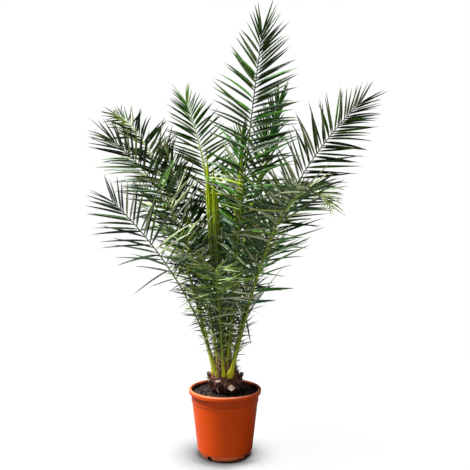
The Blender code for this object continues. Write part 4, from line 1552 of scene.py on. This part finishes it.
def feather_tree(name, swell):
    """Blades set along both edges of a rib, each turned, sized, bent and coloured a little apart."""
    tree = GeometryTree(
        name, Object=("Blade",), Int=("Pairs", "Seed"), Float=BLADE_NUMBERS, Material=BLADE_MATERIALS,
    )
    read = tree.read
    times = tree.times
    plus = tree.plus
    minus = tree.minus
    scaled = tree.scaled
    line = tree.add("GeometryNodeMeshToCurve", read("Geometry")).outputs[0]
    row = tree.add("GeometryNodeMeshLine", inputs={"Count": read("Pairs")}).outputs[0]
    spot = tree.math("DIVIDE", tree.add("GeometryNodeInputIndex").outputs[0], read("Pairs"))
    row = tree.store(row, "spot", spot)
    pair = tree.add("GeometryNodeDuplicateElements", row, inputs={"Amount": 2}, domain="POINT")
    points = tree.store(pair.outputs[0], "side", minus(times(pair.outputs[1], 2.0), 1.0))

    side = tree.attribute("side")
    step = tree.math("DIVIDE", 1.0, read("Pairs"))
    jitter = plus(times(side, 0.25), tree.random(-0.3, 0.3, 6))
    place = plus(tree.attribute("spot"), times(step, plus(jitter, 0.5)))
    place = tree.math("MINIMUM", tree.math("MAXIMUM", place, 0.0), 1.0)
    crowded = minus(1.0, tree.math("POWER", minus(1.0, place), read("Crowding")))
    share = plus(read("From"), times(crowded, minus(read("To"), read("From"))))
    points = tree.store(points, "place", crowded)
    points = tree.store(points, "share", share)

    place = tree.attribute("place")
    gaps = tree.add("ShaderNodeMix", inputs={
        "Factor_Float": tree.math("GREATER_THAN", side, 0.0),
        "A_Float": read("Left Gaps"), "B_Float": read("Right Gaps"),
    }).outputs[0]
    gaps = times(gaps, tree.remap(place, read("Gaps From"), read("Gaps To"), 1.0, read("End Gaps")))
    missing = tree.math("LESS_THAN", tree.random(0.0, 1.0, 9), gaps)
    points = tree.add("GeometryNodeDeleteGeometry", points, missing, domain="POINT").outputs[0]

    def on_rib(value, data_type):
        return tree.add("GeometryNodeSampleCurve", line, inputs={
            "Value": value, "Factor": tree.attribute("share"),
        }, data_type=data_type, mode="FACTOR", use_all_curves=True)

    with_face = on_rib(tree.direction("face"), "FLOAT_VECTOR")
    with_edge = on_rib(tree.attribute("half_width"), "FLOAT")
    points = tree.store(points, "edge", with_edge.outputs["Value"])
    points = tree.store(points, "forward", with_face.outputs["Tangent"], "FLOAT_VECTOR")
    points = tree.store(points, "upper", with_face.outputs["Value"], "FLOAT_VECTOR")
    points = tree.add("GeometryNodeSetPosition", points, inputs={"Position": with_face.outputs["Position"]})
    points = points.outputs[0]

    forward = tree.direction("forward")
    across = tree.vector("NORMALIZE", tree.vector("CROSS_PRODUCT", forward, tree.direction("upper")))
    up = tree.vector("CROSS_PRODUCT", across, forward)
    outside = scaled(across, side)
    late = tree.remap(tree.attribute("share"), NARROW_FROM, 1.0, 0.0, 1.0)
    closing = times(tree.math("POWER", late, NARROW_POWER), minus(read("Tip Splay"), read("Splay")))
    loose = tree.math("POWER", minus(1.0, place), LOOSE_POWER)
    astray = times(read("Disorder"), loose)
    wobble = times(plus(read("Wobble"), times(astray, 0.5)), tree.random(-1.0, 1.0, 1))
    splay = plus(plus(read("Splay"), times(read("Foot Splay"), loose)), plus(closing, wobble))
    splay = tree.math("RADIANS", splay)
    tilt = times(plus(read("Lift Spread"), astray), tree.random(-1.0, 1.0, 2))
    lift = tree.math("RADIANS", plus(read("Lift"), tilt))
    level = tree.math("COSINE", lift)
    raised = tree.math("SINE", lift)
    outward = tree.vector("ADD", scaled(outside, level), scaled(up, raised))
    direction = tree.vector(
        "ADD", scaled(forward, tree.math("COSINE", splay)), scaled(outward, tree.math("SINE", splay)),
    )
    normal = tree.vector("SUBTRACT", scaled(up, level), scaled(outside, raised))
    facing = tree.add(
        "FunctionNodeAxesToRotation", direction, normal, primary_axis="Y", secondary_axis="Z",
    ).outputs[0]
    roll = tree.math("RADIANS", times(read("Twist"), tree.random(-1.0, 1.0, 3)))
    roll = tree.turn(0.0, roll, 0.0)
    facing = tree.add("FunctionNodeRotateRotation", facing, roll, rotation_space="LOCAL").outputs[0]

    length = times(read("Length"), float_curve(tree, place, swell))
    length = times(length, tree.random(*BLADE_LENGTHS, 4))
    length = times(length, tree.remap(place, 0.45, 0.95, 1.0, read("End Share")))
    slim = tree.math("MINIMUM", tree.remap(length, 0.0, 0.13, 0.45, 1.0), 1.0)
    slim = times(slim, tree.math("MINIMUM", tree.remap(place, 0.0, 0.35, 0.68, 1.0), 1.0))
    slim = times(slim, tree.remap(place, 0.78, 1.0, 1.0, 0.68))
    width = times(times(read("Width"), slim), tree.random(*BLADE_WIDTHS, 5))
    scale = tree.add("ShaderNodeCombineXYZ", width, length, width).outputs[0]
    edge = times(tree.attribute("edge"), 0.6)
    points = tree.store(points, "shift", scaled(outside, edge), "FLOAT_VECTOR")
    points = tree.store(points, "blade_length", length)
    points = tree.store(points, "tone", tree.random(0.0, 1.0, 7))
    points = tree.store(points, "bend", tree.random(*BLADE_BENDS, 8))
    points = tree.store(points, "hook", tree.random(-1.0, 1.0, 10))
    copies = tree.add("GeometryNodeInstanceOnPoints", points, inputs={
        "Instance": tree.geometry_of("Blade"), "Rotation": facing, "Scale": scale,
    }).outputs[0]
    moved = tree.add("GeometryNodeTranslateInstances", copies, inputs={
        "Translation": tree.direction("shift"), "Local Space": False,
    }).outputs[0]
    real = tree.add("GeometryNodeRealizeInstances", moved).outputs[0]

    along = tree.attribute("along")
    reach = times(tree.attribute("blade_length"), times(along, along))
    drop = times(times(reach, read("Sag")), tree.attribute("bend"))
    hook = times(times(reach, read("Hook")), tree.attribute("hook"))
    bend = tree.vector("ADD", scaled((0.0, 0.0, -1.0), drop), scaled(tree.direction("forward"), hook))
    bent = tree.add("GeometryNodeSetPosition", real, inputs={"Offset": bend}).outputs[0]

    tone = tree.attribute("tone")
    # Painted light and shade: the tones lean to one side of the rib, paler on the side taken as lit.
    leaning = plus(tone, times(tree.attribute("side"), read("Tone Lean")))
    leaning = plus(leaning, times(tree.attribute("place"), read("Tone Drift")))
    node = tree.add("GeometryNodeSetMaterial", bent, inputs={"Material": read("Material")})
    for limit, label in zip(TONE_LIMITS, BLADE_MATERIALS[1:]):
        chosen = tree.math("LESS_THAN", leaning, limit)
        node = tree.add("GeometryNodeSetMaterial", node.outputs[0], chosen, read(label))
    # Painted highlight, partly the real paler midrib: the middle strip of each fold takes a lighter green.
    midrib_highlight = tree.math("GREATER_THAN", tree.attribute("midrib"), 0.5)
    node = tree.add("GeometryNodeSetMaterial", node.outputs[0], midrib_highlight, read("Rib Material"))
    withered = tree.math("GREATER_THAN", plus(along, times(tone, 0.06)), DRY_FROM)
    tree.finish(node.outputs[0], read("Dry Material"), chosen=withered)
    return tree


def feathers(frond, tree, blade, tones, **values):
    """One frond's blades of one kind as a plain mesh."""
    row = {name.replace("_", " "): value for name, value in values.items()}
    materials = dict(zip(BLADE_MATERIALS, tones))
    return grow(frond.guide(), tree, {"Blade": blade, **materials, **PLAIN_ROW, **row})


def build_leaflets(settings, fronds):
    """The full leaflets of every frond, and the single ones that stand out."""
    tree = feather_tree("Leaflets on a rib", LEAFLET_SWELL)
    blade = leaflet_template()
    tones = {name: leaf_blade(name, colour) for name, colour in LEAF_TONES.items()}
    by_name = {frond.name: frond for frond in fronds}

    def greens(names):
        return [tones[name] for name in (*names, "rib", "straw")]

    order = 0
    for group, members in LEAFLET_GROUPS.items():
        rows = []
        nodes = []
        for name in members:
            frond = by_name[name]
            right_gaps, left_gaps = FROND_GAPS.get(name, (0.0, 0.0))
            gaps_from, gaps_to, end_gaps = FROND_GAP_FADE.get(name, NO_FADE)
            loose = FROND_LOOSE.get(name, 1.0)
            leafy = frond.length * (1.0 - frond.bare)
            rows.append(feathers(
                frond, tree, blade, greens(FROND_TONES[name][:4]), Seed=settings.seed + SEED_STEP * order,
                Pairs=round(leafy * FROND_CROWD.get(name, 1.0) / settings.spacing),
                From=frond.bare, To=1.0, Crowding=1.18, Right_Gaps=right_gaps, Left_Gaps=left_gaps,
                Length=0.965 * frond.leaflet, Width=settings.width * FROND_SLIM.get(name, 1.0),
                Splay=float(frond.splay), Foot_Splay=16.0, Wobble=5.0 * loose, Lift=float(frond.lift),
                Disorder=math.degrees(settings.disorder), Lift_Spread=8.0 * loose, Twist=24.0 * loose,
                Sag=settings.sag, Hook=0.10 * loose, End_Share=FROND_END.get(name, 1.0),
                Tone_Lean=FROND_SHADE_LEAN.get(name, 0.0), Tone_Drift=FROND_DRIFT.get(name, 0.0),
                Gaps_From=gaps_from, Gaps_To=gaps_to, End_Gaps=end_gaps,
            ))
            for number, row in enumerate(LONE_LEAFLETS.get(name, ())):
                start, end, pairs, side, length, width, splay, wobble, hook, *hues = row
                rows.append(feathers(
                    frond, tree, blade, greens(hues), Seed=settings.seed + LONE_SEED + number,
                    Pairs=pairs, From=start, To=end, Right_Gaps=0.5 - 0.5 * side,
                    Left_Gaps=0.5 + 0.5 * side, Length=length, Width=width, Splay=splay, Wobble=wobble,
                    Lift=14.0, Lift_Spread=wobble, Twist=30.0, Sag=0.04, Hook=hook,
                ))
            nodes += frond.nodes()
            order += 1
        settle(join(group, rows), nodes)
    remove(blade)


def build_spines(settings, fronds):
    """Short narrow leaflets below the full ones, and stiff spines lower still."""
    reduced = feather_tree("Reduced leaflets", REDUCED_SWELL)
    sharp = feather_tree("Spines", SPINE_SWELL)
    blade = leaflet_template()
    spine = spine_template()
    # The pale tone here too stands in for glare: a painted highlight.
    names = ("deep", "olive", "fresh", "pale", "rib", "straw")
    tones = [leaf_blade("reduced " + name, LEAF_TONES[name]) for name in names]
    horn = stiff("spine", (0.360, 0.320, 0.130))
    pale = stiff("spine tip", (0.560, 0.440, 0.280))
    leaflets = []
    spines = []
    for order, frond in enumerate(fronds):
        seed = settings.seed + SPINE_SEED + SEED_STEP * order
        low = min(0.34 * frond.bare, 0.10)
        size, right_gaps, left_gaps = FROND_REDUCED.get(frond.name, (1.0, 0.1, 0.1))
        leaflets.append(feathers(
            frond, reduced, blade, tones, Seed=seed,
            Pairs=round(frond.length * (frond.bare - low) / REDUCED_SPACING), From=low, To=frond.bare,
            Right_Gaps=right_gaps, Left_Gaps=left_gaps, Length=settings.reduced * size,
            Width=REDUCED_WIDTH, Splay=64.0, Tip_Splay=60.0, Wobble=24.0, Lift=20.0, Disorder=10.0,
            Lift_Spread=46.0, Twist=40.0, Sag=0.16, Hook=0.30,
        ))
        spines.append(feathers(
            frond, sharp, spine, [horn, horn, pale, pale, horn, pale], Seed=seed + 5,
            Pairs=7, From=0.03, To=min(0.15, frond.bare), Right_Gaps=0.2, Left_Gaps=0.2,
            Length=settings.spines, Width=SPINE_WIDTH, Splay=55.0, Tip_Splay=50.0, Wobble=22.0,
            Lift=20.0, Lift_Spread=40.0, Twist=0.0, Sag=0.05, Hook=0.12,
        ))
    settle(join("leaflets_reduced", leaflets))
    settle(join("petiole_spines", spines))
    remove(blade)
    remove(spine)


def new_light(name, power, size, place, target):
    lamp = bpy.data.lights.new(name, "AREA")
    lamp.shape = "RECTANGLE"
    lamp.size = size
    lamp.size_y = size
    lamp.energy = power
    item = bpy.data.objects.new(name, lamp)
    bpy.context.scene.collection.objects.link(item)
    item.location = place
    item.rotation_euler = (Vector(target) - Vector(place)).to_track_quat("-Z", "Y").to_euler()


def build_studio(settings):
    """Pale floor, white room, large soft lights and the camera of the photograph."""
    scene = bpy.context.scene
    scene.view_settings.view_transform = "Standard"
    shape = bmesh.new()
    bmesh.ops.create_circle(shape, cap_ends=True, radius=FLOOR_RADIUS, segments=128)
    floor = made("floor", shape, outward=False)
    floor.data.materials.append(floor_white())

    world = bpy.data.worlds.new("studio")
    scene.world = world
    world.use_nodes = True
    nodes = Nodes(world.node_tree)
    sky = world.node_tree.nodes["Background"]
    sky.inputs["Color"].default_value = (1.0, 1.0, 1.0, 1.0)
    seen = nodes.add("ShaderNodeLightPath").outputs["Is Camera Ray"]
    nodes.plug(nodes.remap(seen, 0.0, 1.0, settings.fill, 1.0), sky.inputs["Strength"])
    for name, size, place, target in LIGHTS:
        new_light(name, getattr(settings, name), size, place, target)

    camera = bpy.data.cameras.new("camera")
    camera.sensor_width = CAMERA_SENSOR
    camera.lens = CAMERA_LENS
    camera.shift_x, camera.shift_y = CAMERA_SHIFT
    view = bpy.data.objects.new("camera", camera)
    scene.collection.objects.link(view)
    view.location = (0.0, -CAMERA_BACK, CAMERA_HEIGHT)
    view.rotation_euler = (math.radians(90.0), 0.0, 0.0)
    scene.camera = view


def floor_white():
    """Pale floor that looks white to the camera, with a painted shadow round the pot: darker where ambient
    occlusion finds the pot near, lighter to the right and deeper just in front of the foot.
    """
    finish = Finish("floor", FLOOR_GREY, 1.0, 0.0)
    seen = finish.add("ShaderNodeLightPath").outputs["Is Camera Ray"]
    finish.colour(finish.blend(seen, FLOOR_GREY, (0.05, 0.05, 0.05)))
    shade = finish.add("ShaderNodeAmbientOcclusion", inputs={"Distance": FLOOR_SHADE}, samples=16)
    where = finish.place()
    split = finish.add("ShaderNodeSeparateXYZ", where).outputs
    # Painted shadow: the floor lightened towards the right, so that the shade lies more to the left.
    right = finish.remap(split["X"], 0.0, 0.08, 0.0, 0.075)
    contact = finish.remap(finish.plus(shade.outputs["AO"], right), 0.48, 0.875, 0.0, 1.0)
    far = finish.add("ShaderNodeVectorMath", where, operation="LENGTH").outputs["Value"]
    # Painted shadow: the floor darker just in front of the foot.
    front = finish.remap(split["Y"], -0.085, -0.045, 1.0, 0.0)
    deep = finish.times(finish.remap(far, FOOT_RADIUS, FOOT_RADIUS + 0.055, 0.68, 0.0), front)
    contact = finish.times(contact, finish.minus(1.0, deep))
    glow = finish.remap(far, 0.35, 0.9 * FLOOR_RADIUS, FLOOR_GLOW, 1.0)
    finish.surface["Emission Color"].default_value = (1.0, 1.0, 1.0, 1.0)
    finish.plug(finish.times(seen, finish.times(glow, contact)), finish.surface["Emission Strength"])
    return finish.material


def all_fronds():
    return [Frond(row) for row in FRONDS]


class PALM_OT_pot(bpy.types.Operator):
    """Turn the pot and cut its drain notches"""

    bl_idname = "palm.pot"
    bl_label = "Build the pot"

    def execute(self, context):
        build_pot(context.scene.palm_pot)
        return {"FINISHED"}


class PALM_OT_soil(bpy.types.Operator):
    """Fill the pot and strew crumbs, bark and perlite on the bed"""

    bl_idname = "palm.soil"
    bl_label = "Fill the pot"

    def execute(self, context):
        build_soil()
        build_crumbs(context.scene.palm_pot)
        return {"FINISHED"}


class PALM_OT_stem(bpy.types.Operator):
    """Model the fibrous bulb, its cut leaf bases and the loose fibre"""

    bl_idname = "palm.stem"
    bl_label = "Build the stem"

    def execute(self, context):
        build_stem(context.scene.palm_stem)
        build_stubs()
        build_husk("stem_husk", HUSK_LOW, HUSK_HEIGHT, HUSK_FOOT, HUSK_RIM, HUSK_SEED)
        build_husk("stem_cuff", CUFF_LOW, CUFF_HEIGHT, CUFF_FOOT, CUFF_RIM, CUFF_SEED)
        build_fibres(context.scene.palm_stem)
        return {"FINISHED"}


class PALM_OT_ribs(bpy.types.Operator):
    """Loft every petiole and rib from the stem to its tip"""

    bl_idname = "palm.ribs"
    bl_label = "Grow the ribs"

    def execute(self, context):
        build_ribs(all_fronds())
        build_spears()
        return {"FINISHED"}


class PALM_OT_leaflets(bpy.types.Operator):
    """Set the folded leaflets along the ribs"""

    bl_idname = "palm.leaflets"
    bl_label = "Set the leaflets"

    def execute(self, context):
        build_leaflets(context.scene.palm_fronds, all_fronds())
        return {"FINISHED"}


class PALM_OT_spines(bpy.types.Operator):
    """Set the spines along the petioles"""

    bl_idname = "palm.spines"
    bl_label = "Set the spines"

    def execute(self, context):
        build_spines(context.scene.palm_fronds, all_fronds())
        return {"FINISHED"}


class PALM_OT_studio(bpy.types.Operator):
    """Lay the floor and set the lights and the camera"""

    bl_idname = "palm.studio"
    bl_label = "Set the studio"

    def execute(self, context):
        build_studio(context.scene.palm_studio)
        return {"FINISHED"}


STEPS = (
    PALM_OT_pot, PALM_OT_soil, PALM_OT_stem, PALM_OT_ribs, PALM_OT_leaflets, PALM_OT_spines, PALM_OT_studio,
)


class VIEW3D_PT_palm(bpy.types.Panel):
    bl_label = "Potted date palm"
    bl_space_type = "VIEW_3D"
    bl_region_type = "UI"
    bl_category = "Palm"

    def draw(self, context):
        scene = context.scene
        for settings in (scene.palm_pot, scene.palm_stem, scene.palm_fronds, scene.palm_studio):
            box = self.layout.box()
            for name in settings.__annotations__:
                box.prop(settings, name)
        for step in STEPS:
            self.layout.operator(step.bl_idname)


GROUPS = {
    "palm_pot": PotSettings,
    "palm_stem": StemSettings,
    "palm_fronds": FrondSettings,
    "palm_studio": StudioSettings,
}


def register():
    for name, group in GROUPS.items():
        bpy.utils.register_class(group)
        setattr(bpy.types.Scene, name, PointerProperty(type=group))
    for item in (*STEPS, VIEW3D_PT_palm):
        bpy.utils.register_class(item)


def unregister():
    for item in (VIEW3D_PT_palm, *reversed(STEPS)):
        bpy.utils.unregister_class(item)
    for name, group in reversed(GROUPS.items()):
        delattr(bpy.types.Scene, name)
        bpy.utils.unregister_class(group)


def main():
    register()
    bpy.ops.palm.pot()
    bpy.ops.palm.soil()
    bpy.ops.palm.stem()
    bpy.ops.palm.ribs()
    bpy.ops.palm.leaflets()
    bpy.ops.palm.spines()
    bpy.ops.palm.studio()


if __name__ == "__main__":
    main()
